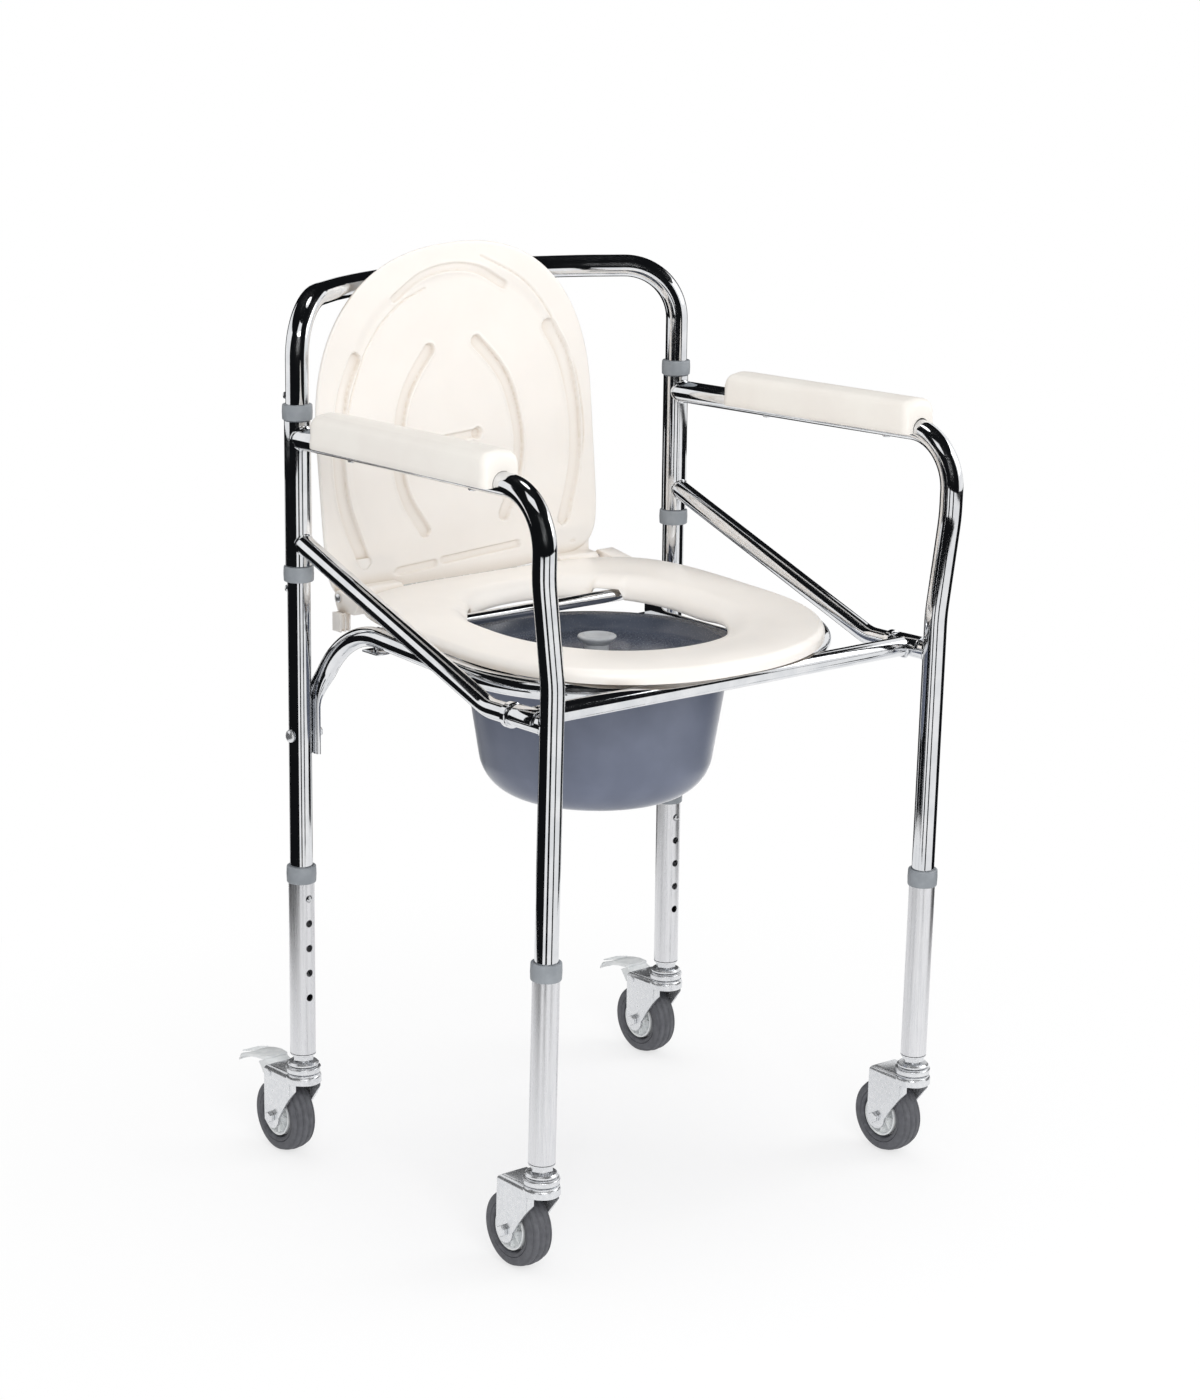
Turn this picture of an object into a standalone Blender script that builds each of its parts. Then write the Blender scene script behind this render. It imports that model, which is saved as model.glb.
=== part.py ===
"""Wheeled commode chair with a folding seat frame, swing-away sides and height-adjustable legs.

Run with: blender --background --python part.py
Metres, Z up, seat facing -Y, floor at Z = 0. Left is -X: the left of a viewer who faces the chair.
"""
import math

import bmesh
import bpy
from mathutils import Matrix, Vector

# Frame layout
SPACING = 0.475  # post to post and front leg to front leg, centre to centre
DEPTH = 0.380  # post axis to front leg axis, at the leg collars
LEG_LEAN = 0.022  # forward run of a front leg for each metre of height
TUBE_R = 0.0111  # posts, top bar, arms and front legs
TUBE_WALL = 0.0012
BRACE_R = 0.0095  # side braces, seat frame and crossbar
OUTER_R = 0.0127  # pivot sleeves and leg extensions
SLIDE_GAP = 0.0003  # between a tube and the tube or collar around it
SEAT_GAP = 0.0003  # between pieces that rest on each other
TUBE_SIDES = 12
BEND_STEP = 17.0  # degrees of bend for each ring of a bent tube

# Back frame
BAR_Z = 0.856
BAR_APEX_Y = 0.278  # the top bar bows to the rear so that the open lid can lean on it
BAR_BOW_START = 0.160  # half-width of the curved middle of the bow
BAR_BEND_R = 0.055
TUBE_END_Z = 0.250  # lower end of a post or front leg, inside its extension

# Pivot sleeves and collars on the posts
SLEEVE_BOTTOM_Z = 0.603
SLEEVE_TOP_Z = 0.7435
COLLAR_R = 0.0147
PIVOT_COLLAR_H = 0.0150
POST_CLIP_STEP = 0.0078  # button centre beyond the collar's outer face
POST_CLIP_TURN = 45.0  # degrees from straight back towards the outside

# Side frames
ARM_REAR_Z = 0.727
ARM_FRONT_Z = 0.7335
ARM_FLARE = 0.0125  # how far outboard of its leg the arm's front end sits
ARM_BEND_R = 0.052
FLARE_TOP_Z = 0.655
FLARE_FOOT_Z = 0.560
FLARE_BEND_R = 0.150
BRACE_TOP_Z = 0.6285
STUB_Z = 0.522
STUB_REAR_Y = -0.105
BRACE_BEND_R = 0.050
STOP_RING_Y = -0.138
STOP_RING_R = 0.0120
STOP_RING_W = 0.009

# Leg extensions, their collars and snap buttons
EXTENSION_BOTTOM_Z = 0.111
EXTENSION_TOP_Z = 0.3000
LEG_COLLAR_H = 0.0170
LEG_COLLAR_LAP = 0.0130  # how far the collar reaches down over the extension
CLIP_Z = 0.272
HOLE_STEP = 0.0254
HOLE_COUNT = 5
BUTTON_R = 0.0033
HOLE_GAP = 0.0004
BUTTON_STAND = 0.0018  # dome beyond the outermost tube it goes through
CLIP_STRIP = 0.0007
CLIP_WIDTH = 0.0080
CLIP_LENGTH = 0.030

# Casters
WHEEL_R = 0.0375
TYRE_W = 0.0250
RIM_R = 0.0214
HUB_HALF = 0.0142
HUB_BOSS_R = 0.0090
HUB_WEB_HALF = 0.0060
TRAIL = 0.0312
FORK_HALF = 0.0175
FORK_PLATE = 0.0027
FORK_TOP_Z = 0.0925
FORK_FRONT = 0.0165
FORK_LOBE_R = 0.0120
DISH_R = 0.0175
DISH_TOP_Z = 0.0980
RACE_R = 0.0155
RACE_TOP_Z = 0.1022
NUT_FLATS = 0.0190
PLUG_H = 0.022
AXLE_R = 0.0030
AXLE_FLATS = 0.0100
PEDAL_PIVOT = (0.0350, 0.0825)
PEDAL_PIN_R = 0.0020
PEDAL_HALF = 0.0160
PEDAL_ARM_HALF = 0.0138
PEDAL_REACH = 0.1010
PEDAL_PLATE = 0.0030

# Seat frame
SEAT_SLOPE = 0.060
RAIL_HALF = 0.203
FRONT_RUN_Y = -0.1430
FRONT_RUN_RISE = 0.0030  # seat tube's front run above the crossbar
FRONT_BEND_R = 0.115
REAR_BEND_R = 0.080
PIVOT_DROP = 0.0865  # pivot bolts below the side frames' stubs
RAIL_END_DROP = 0.0200  # end of the seat tube below its pivot
END_THICK = 0.0070  # flattened tube end at the pivot
END_WIDTH = 0.0215
FLAT_RISE = 0.0405  # round tube begins above the pivot
FLAT_FULL_RISE = 0.0165  # fully flat up to here above the pivot
CROSSBAR_RISE = 0.0015  # crossbar above the side frames' stubs
WELD_LAP = 0.0008  # how far two tubes that are welded side by side run into each other
HOOK_REAR_Y = -0.1475
HOOK_LENGTH = 0.0310
HOOK_GAP = 0.0004
HOOK_WALL = 0.0020
REAR_BAR_Y = 0.118
REAR_BAR_R = 0.0064
PIVOT_BOLT_R = 0.0030
PIVOT_BOLT_TIP = 0.0245  # nut end, inboard of the post axis
PIVOT_NUT_FLATS = 0.0095
PIVOT_HEAD_R = 0.0062

# Bucket and its lid
BUCKET_Y = 0.028
BUCKET_SIDES = 28
BUCKET_TOP_R = 0.1315
BUCKET_FLOOR_R = 0.1080  # where the wall would meet the floor
BUCKET_DEPTH = 0.1445
BUCKET_WALL = 0.0020
BUCKET_FOOT_H = 0.0040  # hollow under the floor, inside the foot ring
BUCKET_ROUND = 0.0450  # between floor and wall
RIM_WIDTH = 0.0095
RIM_DROP = 0.0050  # rim's top below the seat tube's front run
RIM_THICK = 0.0030
GUIDE_WALL = 0.0015
GUIDE_GAP = 0.0008
GUIDE_LIP = 0.0085
PAN_INSET = 0.0125  # lid's sunken pan inside the bucket's mouth
LID_PAN_DEPTH = 0.0130
PAN_THICK = 0.0022
KNOB_R = 0.0190
KNOB_RISE = 0.0110  # above the bucket's rim

# Seat ring
RING_HALF = 0.200
RING_FRONT_Y = -0.186
RING_REAR_Y = 0.2030
RING_MID_Y = 0.000  # where the straight sides meet the rounded front
RING_BAND = 0.0130  # height at the front
RING_SLOPE = 0.045  # slope of the ring's top
RING_CROWN = 0.0018
RING_SHELL = 0.0035
RING_LIP = 0.0026  # depth of the lip round the opening below the ring's base
OPEN_HALF = 0.118
OPEN_FRONT = 0.137
OPEN_REAR = 0.117
OPEN_Y = 0.035
RING_POINTS = 40

# Seat lid and its hinge
HINGE_Y = 0.212
HINGE_DROP = 0.0085  # hinge axis below the ring's top
PIN_R = 0.0030
PIN_GAP = 0.00012
EAR_X = 0.165
EAR_W = 0.020
EAR_R = 0.0075
EAR_ROOT = 0.022  # how far an ear runs in under the ring
PIN_SIDES = 12
KNUCKLE_X = 0.125
KNUCKLE_W = 0.050
KNUCKLE_LAP = 0.022  # how far a knuckle runs up under the lid's edge
KNUCKLE_NECK = HINGE_Y - RING_REAR_Y - 0.0014  # front of a knuckle's neck, clear of the ring's rear edge
LID_HALF = 0.172
LID_CORNER = 9.0  # squareness of the corners at the hinge
GROOVE_HALF = 0.165  # reach of the curve that the edge grooves follow
GROOVE_CORNER = 3.8
LID_LENGTH = 0.3350
LID_THICK = 0.0120
LID_EDGE = 0.0045
LID_OFFSET = -0.008  # the photographed lid stands a little to the left and askew
LID_SKEW = 3.3
LID_TOUCH_X = 0.142  # where the lid's edge meets the bowed bar
LID_START = 0.0110  # lid edge above the hinge axis
LID_REST_GAP = 0.0005
LID_POINTS = 36
LID_DISH = 0.0035  # sunken field of the lid's inner face
CHANNEL_W = 0.0124  # grooves moulded in the lid's inner face
CHANNEL_DEPTH = 0.0020
DASH_W = 0.0068

# Arm pads
LEFT_PAD_REAR_Y = 0.143
LEFT_PAD_FRONT_Y = -0.137
RIGHT_PAD_REAR_Y = 0.100  # the right pad is photographed further forward
RIGHT_PAD_FRONT_Y = -0.156
PAD_HALF = 0.0210
PAD_TOP = 0.0300  # above the arm's axis
PAD_SKIRT = 0.0030  # below the arm's axis
PAD_ROUND = 0.0110
PAD_END_ROUND = 0.0060
PAD_SCREW_R = 0.0022
PAD_SCREW_INSET = 0.045

# Places worked out from the sizes above
X_AXIS = Vector((1, 0, 0))
HALF = SPACING / 2
POST_Y = DEPTH / 2
LEG_Y = -DEPTH / 2
COLLAR_Z = 0.295
BORE_R = TUBE_R - TUBE_WALL
PAD_REAR_Y = {-1: LEFT_PAD_REAR_Y, 1: RIGHT_PAD_REAR_Y}
PAD_FRONT_Y = {-1: LEFT_PAD_FRONT_Y, 1: RIGHT_PAD_FRONT_Y}
CROSSBAR_Z = STUB_Z + CROSSBAR_RISE
FRONT_RUN_Z = CROSSBAR_Z + FRONT_RUN_RISE
PIVOT_Z = STUB_Z - PIVOT_DROP
RAIL_END_Z = PIVOT_Z - RAIL_END_DROP
FLAT_TOP_Z = PIVOT_Z + FLAT_RISE
FLAT_FULL_Z = PIVOT_Z + FLAT_FULL_RISE
RIM_TOP_Z = FRONT_RUN_Z - RIM_DROP
RIM_OUT_R = BUCKET_TOP_R + RIM_WIDTH
BUCKET_FLOOR_Z = RIM_TOP_Z - BUCKET_DEPTH
LID_PAN_R = BUCKET_TOP_R - PAN_INSET
KNOB_TOP_Z = RIM_TOP_Z + KNOB_RISE
GUIDE_R = TUBE_R + SLIDE_GAP
CROSSBAR_Y = FRONT_RUN_Y - math.sqrt((2 * BRACE_R - WELD_LAP) ** 2 - (FRONT_RUN_Z - CROSSBAR_Z) ** 2)
REAR_EDGE = POST_Y + PEDAL_REACH
FRONT_EDGE = LEG_Y - LEG_LEAN * (ARM_FRONT_Z - COLLAR_Z) - TUBE_R
SHIFT = Vector((0, -(REAR_EDGE + FRONT_EDGE) / 2, 0))  # puts the origin under the middle
RING_BASE_Z = FRONT_RUN_Z + BRACE_R + SEAT_GAP
HINGE_Z = RING_BASE_Z + RING_BAND + RING_CROWN + RING_SLOPE * (HINGE_Y - FRONT_RUN_Y) - HINGE_DROP

COLOURS = {
    "chrome": ((0.80, 0.81, 0.83), 0.12, 1.0),
    "satin_tube": ((0.88, 0.88, 0.89), 0.30, 1.0),
    "collar": ((0.30, 0.32, 0.34), 0.40, 0.0),
    "zinc": ((0.72, 0.73, 0.75), 0.30, 1.0),
    "white_plastic": ((0.88, 0.83, 0.74), 0.35, 0.0),
    "pad_plastic": ((0.86, 0.81, 0.73), 0.45, 0.0),
    "tyre": ((0.09, 0.09, 0.10), 0.60, 0.0),
    "wheel_hub": ((0.66, 0.68, 0.69), 0.40, 0.0),
    "pedal": ((0.66, 0.68, 0.69), 0.35, 0.0),
    "bucket": ((0.15, 0.17, 0.21), 0.35, 0.0),
    "bucket_lid": ((0.07, 0.08, 0.10), 0.30, 0.0),
    "spring_steel": ((0.70, 0.70, 0.72), 0.25, 1.0),
}


# Small helpers


def rail_z(y):
    """Height of the seat rails' axis."""
    return FRONT_RUN_Z + SEAT_SLOPE * (y - FRONT_RUN_Y)


def bow_y(x):
    """The top bar's axis, bowed to the rear between the posts."""
    return BAR_APEX_Y - (BAR_APEX_Y - POST_Y) * (x / HALF) ** 2


def leg_axis(z):
    """A point's y on the front leg's leaning axis."""
    return LEG_Y - LEG_LEAN * (z - COLLAR_Z)


def side_name(side):
    return "left" if side < 0 else "right"


def clear_scene():
    for obj in list(bpy.data.objects):
        bpy.data.objects.remove(obj)
    for block in list(bpy.data.materials):
        bpy.data.materials.remove(block)


def material(slot):
    mat = bpy.data.materials.get(slot)
    if mat:
        return mat
    colour, roughness, metallic = COLOURS[slot]
    mat = bpy.data.materials.new(slot)
    mat.use_nodes = True
    shader = mat.node_tree.nodes["Principled BSDF"]
    shader.inputs["Base Color"].default_value = (*colour, 1)
    shader.inputs["Roughness"].default_value = roughness
    shader.inputs["Metallic"].default_value = metallic
    return mat


def add(name, bm, slot, pivot=(0, 0, 0), parent=None):
    """Make the object, with its origin on the point it turns or slides about."""
    pivot = Vector(pivot)
    bmesh.ops.translate(bm, verts=bm.verts, vec=-pivot)
    bmesh.ops.recalc_face_normals(bm, faces=bm.faces)
    mesh = bpy.data.meshes.new(name)
    bm.to_mesh(mesh)
    bm.free()
    mesh.shade_smooth()
    mesh.set_sharp_from_angle(angle=math.radians(38))
    mesh.materials.append(material(slot))
    obj = bpy.data.objects.new(name, mesh)
    bpy.context.scene.collection.objects.link(obj)
    place = pivot + SHIFT
    obj["place"] = place
    if parent:
        obj.parent = parent
        place = place - Vector(parent["place"])
    obj.location = place
    return obj


def circle(centre, across, up, radius, sides=TUBE_SIDES, height=None):
    """Points of a circle or, with a height, an ellipse."""
    height = radius if height is None else height
    steps = [2 * math.pi * (k + 0.5) / sides for k in range(sides)]
    return [centre + across * radius * math.cos(a) + up * height * math.sin(a) for a in steps]


def loft(rings, closed=False):
    """Skin equal rings of points; closed joins the last ring to the first one."""
    bm = bmesh.new()
    loops = [[bm.verts.new(p) for p in ring] for ring in rings]
    pairs = list(zip(loops, loops[1:]))
    if closed:
        pairs.append((loops[-1], loops[0]))
    count = len(loops[0])
    for low, high in pairs:
        for i in range(count):
            j = (i + 1) % count
            bm.faces.new((low[i], low[j], high[j], high[i]))
    if not closed:
        bm.faces.new(loops[0])
        bm.faces.new(loops[-1])
    bmesh.ops.recalc_face_normals(bm, faces=bm.faces)
    return bm


def rounded(points, radii):
    """A path through corner points, each inner corner bent to its radius."""
    points = [Vector(p) for p in points]
    path = [points[0]]
    for corner, radius, before, after in zip(points[1:-1], radii, points, points[2:]):
        back, on = (before - corner).normalized(), (after - corner).normalized()
        opening = back.angle(on)
        reach = radius / math.tan(opening / 2)
        centre = corner + (back + on).normalized() * radius / math.sin(opening / 2)
        start, end = corner + back * reach - centre, corner + on * reach - centre
        turn = math.pi - opening
        steps = max(2, round(turn / math.radians(BEND_STEP)))
        for k in range(steps + 1):
            a, b = math.sin((1 - k / steps) * turn), math.sin(k / steps * turn)
            path.append(centre + (start * a + end * b) / math.sin(turn))
    path.append(points[-1])
    return path


def sweep(path, sizes, across, sides=TUBE_SIDES):
    """Rings along a path. sizes gives each ring's half-width along across and its half-height."""
    rings = []
    for i, point in enumerate(path):
        ahead, behind = path[min(i + 1, len(path) - 1)], path[max(i - 1, 0)]
        along = (ahead - behind).normalized()
        across = (across - along * across.dot(along)).normalized()
        width, height = sizes(point) if callable(sizes) else (sizes, sizes)
        rings.append(circle(point, across, along.cross(across), width, sides, height))
    return rings


def revolve(profile, sides, closed=True, hexes=()):
    """Turn (radius, height) points about Z. Profile points listed in hexes are made six-sided."""
    rings = []
    for k, (radius, height) in enumerate(profile):
        ring = []
        for i in range(sides):
            a = 2 * math.pi * i / sides
            r = radius
            if k in hexes:
                r = radius / math.cos((a % (math.pi / 3)) - math.pi / 6)
            ring.append(Vector((r * math.cos(a), r * math.sin(a), height)))
        rings.append(ring)
    return loft(rings, closed)


def prism(outline, low, high, frame=None):
    """A closed outline of (u, v) points made solid between two heights, then placed."""
    bm = loft([[Vector((u, v, h)) for u, v in outline] for h in (low, high)])
    return moved(bm, frame) if frame else bm


def rod(start, end, radius, sides=TUBE_SIDES):
    start, end = Vector(start), Vector(end)
    along = (end - start).normalized()
    level = X_AXIS if abs(along.x) < 0.9 else Vector((0, 1, 0))
    across = (level - along * level.dot(along)).normalized()
    return loft([circle(p, across, along.cross(across), radius, sides) for p in (start, end)])


def box(low, high):
    corners = [(low[0], low[1]), (high[0], low[1]), (high[0], high[1]), (low[0], high[1])]
    return prism(corners, low[2], high[2])


def moved(bm, matrix):
    bmesh.ops.transform(bm, matrix=matrix, verts=bm.verts)
    return bm


def mirrored(bm):
    """The same mesh on the other side of the middle plane."""
    bm = moved(bm, Matrix.Scale(-1, 4, (1, 0, 0)))
    bmesh.ops.reverse_faces(bm, faces=bm.faces)
    return bm


def arc(centre, radius, start, end, steps):
    """Points along an arc; angles in degrees."""
    angles = [math.radians(start + (end - start) * k / steps) for k in range(steps + 1)]
    return [(centre[0] + radius * math.cos(a), centre[1] + radius * math.sin(a)) for a in angles]


def scratch(bm):
    mesh = bpy.data.meshes.new("scratch")
    bmesh.ops.recalc_face_normals(bm, faces=bm.faces)
    bm.to_mesh(mesh)
    bm.free()
    obj = bpy.data.objects.new("scratch", mesh)
    bpy.context.scene.collection.objects.link(obj)
    return obj


def combine(base, tools, operation):
    """Apply exact Booleans one after another and return the result."""
    obj = scratch(base)
    for tool_mesh in tools:
        tool = scratch(tool_mesh)
        tool.hide_render = True
        tool.display_type = "WIRE"
        step = obj.modifiers.new("combine", "BOOLEAN")
        step.operation, step.solver, step.object = operation, "EXACT", tool
        depsgraph = bpy.context.evaluated_depsgraph_get()
        result = bpy.data.meshes.new_from_object(obj.evaluated_get(depsgraph))
        obj.modifiers.clear()
        obj.data = result
        bpy.data.objects.remove(tool)
    bm = bmesh.new()
    bm.from_mesh(obj.data)
    bpy.data.objects.remove(obj)
    bmesh.ops.dissolve_degenerate(bm, dist=1e-6, edges=bm.edges)
    return bm


def cut(base, *tools):
    return combine(base, tools, "DIFFERENCE")


def join(base, *tools):
    return combine(base, tools, "UNION")


# Frames that leaning or turned pieces are built in

ALONG_X = Matrix(((0, 0, 1, 0), (1, 0, 0, 0), (0, 1, 0, 0), (0, 0, 0, 1)))  # (u, v, h) to (h, u, v)
FLATS = Matrix.Rotation(math.pi / TUBE_SIDES, 4, "Z")  # sets a turned sleeve's flats over those of the tube in it


def leg_frame(side, front):
    """Frame of a leg: origin where its axis meets the floor, Z up along the axis."""
    if not front:
        return Matrix.Translation((side * HALF, POST_Y, 0))
    return Matrix.Translation((side * HALF, leg_axis(0), 0)) @ Matrix.Rotation(math.atan(LEG_LEAN), 4, "X")


def leg_label(side, front):
    return f"{'front' if front else 'rear'}_{side_name(side)}"


# Back frame, collars and clips


def snap_hole(frame, height, depth, turn):
    """Cutter for a button's hole, from the tube's bore outwards."""
    radius = (BUTTON_R + HOLE_GAP) / math.cos(math.pi / 8)
    return moved(rod((0, 0, height), (0, depth, height), radius, 8), frame @ Matrix.Rotation(turn, 4, "Z"))


def clip_turn(side, front):
    """Leg buttons face away from the middle of the chair's side: forwards at the rear."""
    return 0.0 if front else math.pi


def post_clip_turn(side):
    return math.radians(POST_CLIP_TURN) * -side


def post_clip_heights():
    upper = SLEEVE_TOP_Z + SEAT_GAP + PIVOT_COLLAR_H + POST_CLIP_STEP
    lower = SLEEVE_BOTTOM_Z - SEAT_GAP - PIVOT_COLLAR_H - POST_CLIP_STEP
    return {"upper": upper, "lower": lower}


def back_path():
    """Half of the back frame's centre line, from the left post's foot to the middle of the top bar."""
    foot = (-HALF, POST_Y, TUBE_END_Z)
    corner = (-HALF, POST_Y, BAR_Z)
    half = rounded([foot, corner, (-BAR_BOW_START, bow_y(BAR_BOW_START), BAR_Z)], [BAR_BEND_R])
    for k in range(3, -1, -1):
        x = BAR_BOW_START * k / 4
        half.append(Vector((-x, bow_y(x), BAR_Z)))
    return half


def back_frame():
    half = sweep(back_path(), TUBE_R, X_AXIS)
    rings = half + [[Vector((-p.x, p.y, p.z)) for p in ring] for ring in reversed(half[:-1])]
    tube = loft(rings)
    cutters = []
    heights = post_clip_heights()
    bore_top = heights["upper"] + 0.018
    for side in (-1, 1):
        post = leg_frame(side, False)
        cutters.append(moved(rod((0, 0, TUBE_END_Z - 0.01), (0, 0, bore_top), BORE_R), post))
        cutters.append(snap_hole(post, CLIP_Z, 0.02, clip_turn(side, False)))
        for height in heights.values():
            cutters.append(snap_hole(post, height, 0.02, post_clip_turn(side)))
        bolt_r = PIVOT_BOLT_R + HOLE_GAP
        cutters.append(moved(rod((-0.02, 0, PIVOT_Z), (0.02, 0, PIVOT_Z), bolt_r, 12), post))
    add("back_frame", cut(tube, *cutters), "chrome")


def clip(reach):
    """A bent spring strip with its button, the button along +Y at the height of the origin."""
    # the strip's edges, not its middle, come nearest to the bore
    near = math.sqrt((BORE_R * math.cos(math.pi / TUBE_SIDES) - SLIDE_GAP) ** 2 - (CLIP_WIDTH / 2) ** 2)
    strip = CLIP_STRIP
    low = -CLIP_LENGTH
    outer = [(near, 0.006), (near, low + near), (0, low), (-near, low + near), (-near, -0.004)]
    inner = [(strip - near, -0.004), (strip - near, low + near), (0, low + strip * 1.5)]
    inner += [(near - strip, low + near), (near - strip, 0.006)]
    bent = prism(outer + inner, -CLIP_WIDTH / 2, CLIP_WIDTH / 2, ALONG_X)
    dome = [(BUTTON_R, near - strip / 2), (BUTTON_R, reach - 0.0014), (BUTTON_R * 0.8, reach - 0.0004)]
    dome.append((BUTTON_R * 0.35, reach))
    button = moved(revolve(dome, 12, closed=False), Matrix.Rotation(-math.pi / 2, 4, "X"))
    return join(bent, button)


def post_clips(parent):
    reach = TUBE_R + BUTTON_STAND + 0.0006
    for side in (-1, 1):
        for level, height in post_clip_heights().items():
            frame = leg_frame(side, False) @ Matrix.Rotation(post_clip_turn(side), 4, "Z")
            frame = frame @ Matrix.Translation((0, 0, height))
            button = moved(clip(reach), frame)
            add(f"post_clip_{level}_{side_name(side)}", button, "spring_steel", frame.translation, parent)


def pivot_collars():
    low = SLEEVE_BOTTOM_Z - SEAT_GAP - PIVOT_COLLAR_H
    high = SLEEVE_TOP_Z + SEAT_GAP
    ease = 0.0015
    for side in (-1, 1):
        for level, base in (("lower", low), ("upper", high)):
            top = base + PIVOT_COLLAR_H
            profile = [(GUIDE_R, base), (COLLAR_R - ease, base), (COLLAR_R, base + ease)]
            profile += [(COLLAR_R, top - ease), (COLLAR_R - ease, top), (GUIDE_R, top)]
            collar = moved(revolve(profile, TUBE_SIDES), leg_frame(side, False) @ FLATS)
            add(f"pivot_collar_{level}_{side_name(side)}", collar, "collar")


# Side frames


def arm_ends(side):
    rear = Vector((side * HALF, POST_Y, ARM_REAR_Z))
    front = Vector((side * (HALF + ARM_FLARE), leg_axis(ARM_FRONT_Z), ARM_FRONT_Z))
    return rear, front


def pad_screw_places(side):
    rear, front = arm_ends(side)
    along = (front - rear).normalized()
    places = []
    for y in (PAD_REAR_Y[side] - PAD_SCREW_INSET, PAD_FRONT_Y[side] + PAD_SCREW_INSET):
        places.append(rear + along * ((y - rear.y) / along.y))
    return places


def side_frame(side):
    rear, front = arm_ends(side)
    into = 0.004  # depth of a welded tube end in the sleeve's wall, before the bore is cut
    start = rear + (front - rear).normalized() * into
    flare_top = (side * (HALF + ARM_FLARE), leg_axis(FLARE_TOP_Z), FLARE_TOP_Z)
    flare_foot = (side * HALF, leg_axis(FLARE_FOOT_Z), FLARE_FOOT_Z)
    foot = (side * HALF, leg_axis(TUBE_END_Z), TUBE_END_Z)
    path = rounded([start, front, flare_top, flare_foot, foot], [ARM_BEND_R, FLARE_BEND_R, FLARE_BEND_R])
    arm = loft(sweep(path, TUBE_R, X_AXIS))
    sleeve = rod((side * HALF, POST_Y, SLEEVE_BOTTOM_Z), (side * HALF, POST_Y, SLEEVE_TOP_Z), OUTER_R)
    slope = (BRACE_TOP_Z - STUB_Z) / (POST_Y - STUB_REAR_Y)
    high = (side * HALF, POST_Y - into, BRACE_TOP_Z - slope * into)
    knee = (side * HALF, STUB_REAR_Y, STUB_Z)
    end = (side * HALF, leg_axis(STUB_Z) + into, STUB_Z)
    brace = loft(sweep(rounded([high, knee, end], [BRACE_BEND_R]), BRACE_R, X_AXIS))
    half_ring = STOP_RING_W / 2
    ring_ends = [(side * HALF, STOP_RING_Y + s * half_ring, STUB_Z) for s in (-1, 1)]
    ring = rod(*ring_ends, STOP_RING_R)
    frame = join(sleeve, arm, brace, ring)
    leg = leg_frame(side, True)
    post = leg_frame(side, False)
    # the sleeve turns on the post, so its flats clear the post's corners
    turning_bore = GUIDE_R / math.cos(math.pi / TUBE_SIDES)
    cutters = [
        moved(rod((0, 0, SLEEVE_BOTTOM_Z - 0.01), (0, 0, SLEEVE_TOP_Z + 0.01), turning_bore), post),
        moved(rod((0, 0, TUBE_END_Z - 0.01), (0, 0, CLIP_Z + 0.03), BORE_R), leg),
        snap_hole(leg, CLIP_Z, 0.02, clip_turn(side, True)),
    ]
    for place in pad_screw_places(side):
        drill = Vector((0, 0, 0.02))
        cutters.append(rod(place - drill, place + drill, PAD_SCREW_R + HOLE_GAP, 10))
    return add(f"side_frame_{side_name(side)}", cut(frame, *cutters), "chrome", (side * HALF, POST_Y, 0))


def pad_section():
    """Half-open channel section: rounded top, skirts beside the arm tube, round slot over it."""
    outer = [(PAD_HALF, -PAD_SKIRT)]
    outer += arc((PAD_HALF - PAD_ROUND, PAD_TOP - PAD_ROUND), PAD_ROUND, 0, 90, 4)
    outer += arc((PAD_ROUND - PAD_HALF, PAD_TOP - PAD_ROUND), PAD_ROUND, 90, 180, 4)
    outer.append((-PAD_HALF, -PAD_SKIRT))
    slot = TUBE_R + SEAT_GAP
    inner = [(-slot, -PAD_SKIRT)] + arc((0, 0), slot, 180, 0, 8) + [(slot, -PAD_SKIRT)]
    return outer, inner


def arm_pad(side, parent):
    rear, front = arm_ends(side)
    along = (front - rear).normalized()
    up = Vector((0, 0, 1))
    up = (up - along * up.dot(along)).normalized()
    across = along.cross(up)
    outer, inner = pad_section()
    low, high = (rear + along * ((y - rear.y) / along.y) for y in (PAD_REAR_Y[side], PAD_FRONT_Y[side]))
    length = (high - low).length
    rings = []
    stations = [(0, PAD_END_ROUND), (PAD_END_ROUND * 0.3, PAD_END_ROUND * 0.3), (PAD_END_ROUND, 0)]
    stations += [(length - d, inset) for d, inset in reversed(stations)]
    for distance, inset in stations:
        ring = []
        for u, v in outer:
            shrink_u = (PAD_HALF - inset) / PAD_HALF
            shrink_v = (PAD_TOP - inset) / PAD_TOP if v > 0 else 1
            ring.append(low + along * distance + across * u * shrink_u + up * v * shrink_v)
        ring += [low + along * distance + across * u + up * v for u, v in inner]
        rings.append(ring)
    pad = loft(rings)
    name = side_name(side)
    cutters = []
    for place in pad_screw_places(side):
        radius = PAD_SCREW_R + HOLE_GAP
        cutters.append(rod(place, place + Vector((0, 0, PAD_TOP - 0.008)), radius, 10))
    add(f"arm_pad_{name}", cut(pad, *cutters), "pad_plastic", (side * HALF, POST_Y, 0), parent)
    for label, place in zip(("rear", "front"), pad_screw_places(side)):
        base = -TUBE_R - 0.0026
        tip = PAD_TOP - 0.0105
        profile = [(0.0012, base), (0.0036, base + 0.0004), (0.0044, base + 0.0022), (0.0044, base + 0.0023)]
        profile += [(PAD_SCREW_R, base + 0.0023), (PAD_SCREW_R, tip - 0.002), (0.0006, tip)]
        screw = moved(revolve(profile, 8, closed=False), Matrix.Translation(place))
        add(f"pad_screw_{label}_{name}", screw, "zinc", (side * HALF, POST_Y, 0), parent)


# Leg extensions and casters


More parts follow.
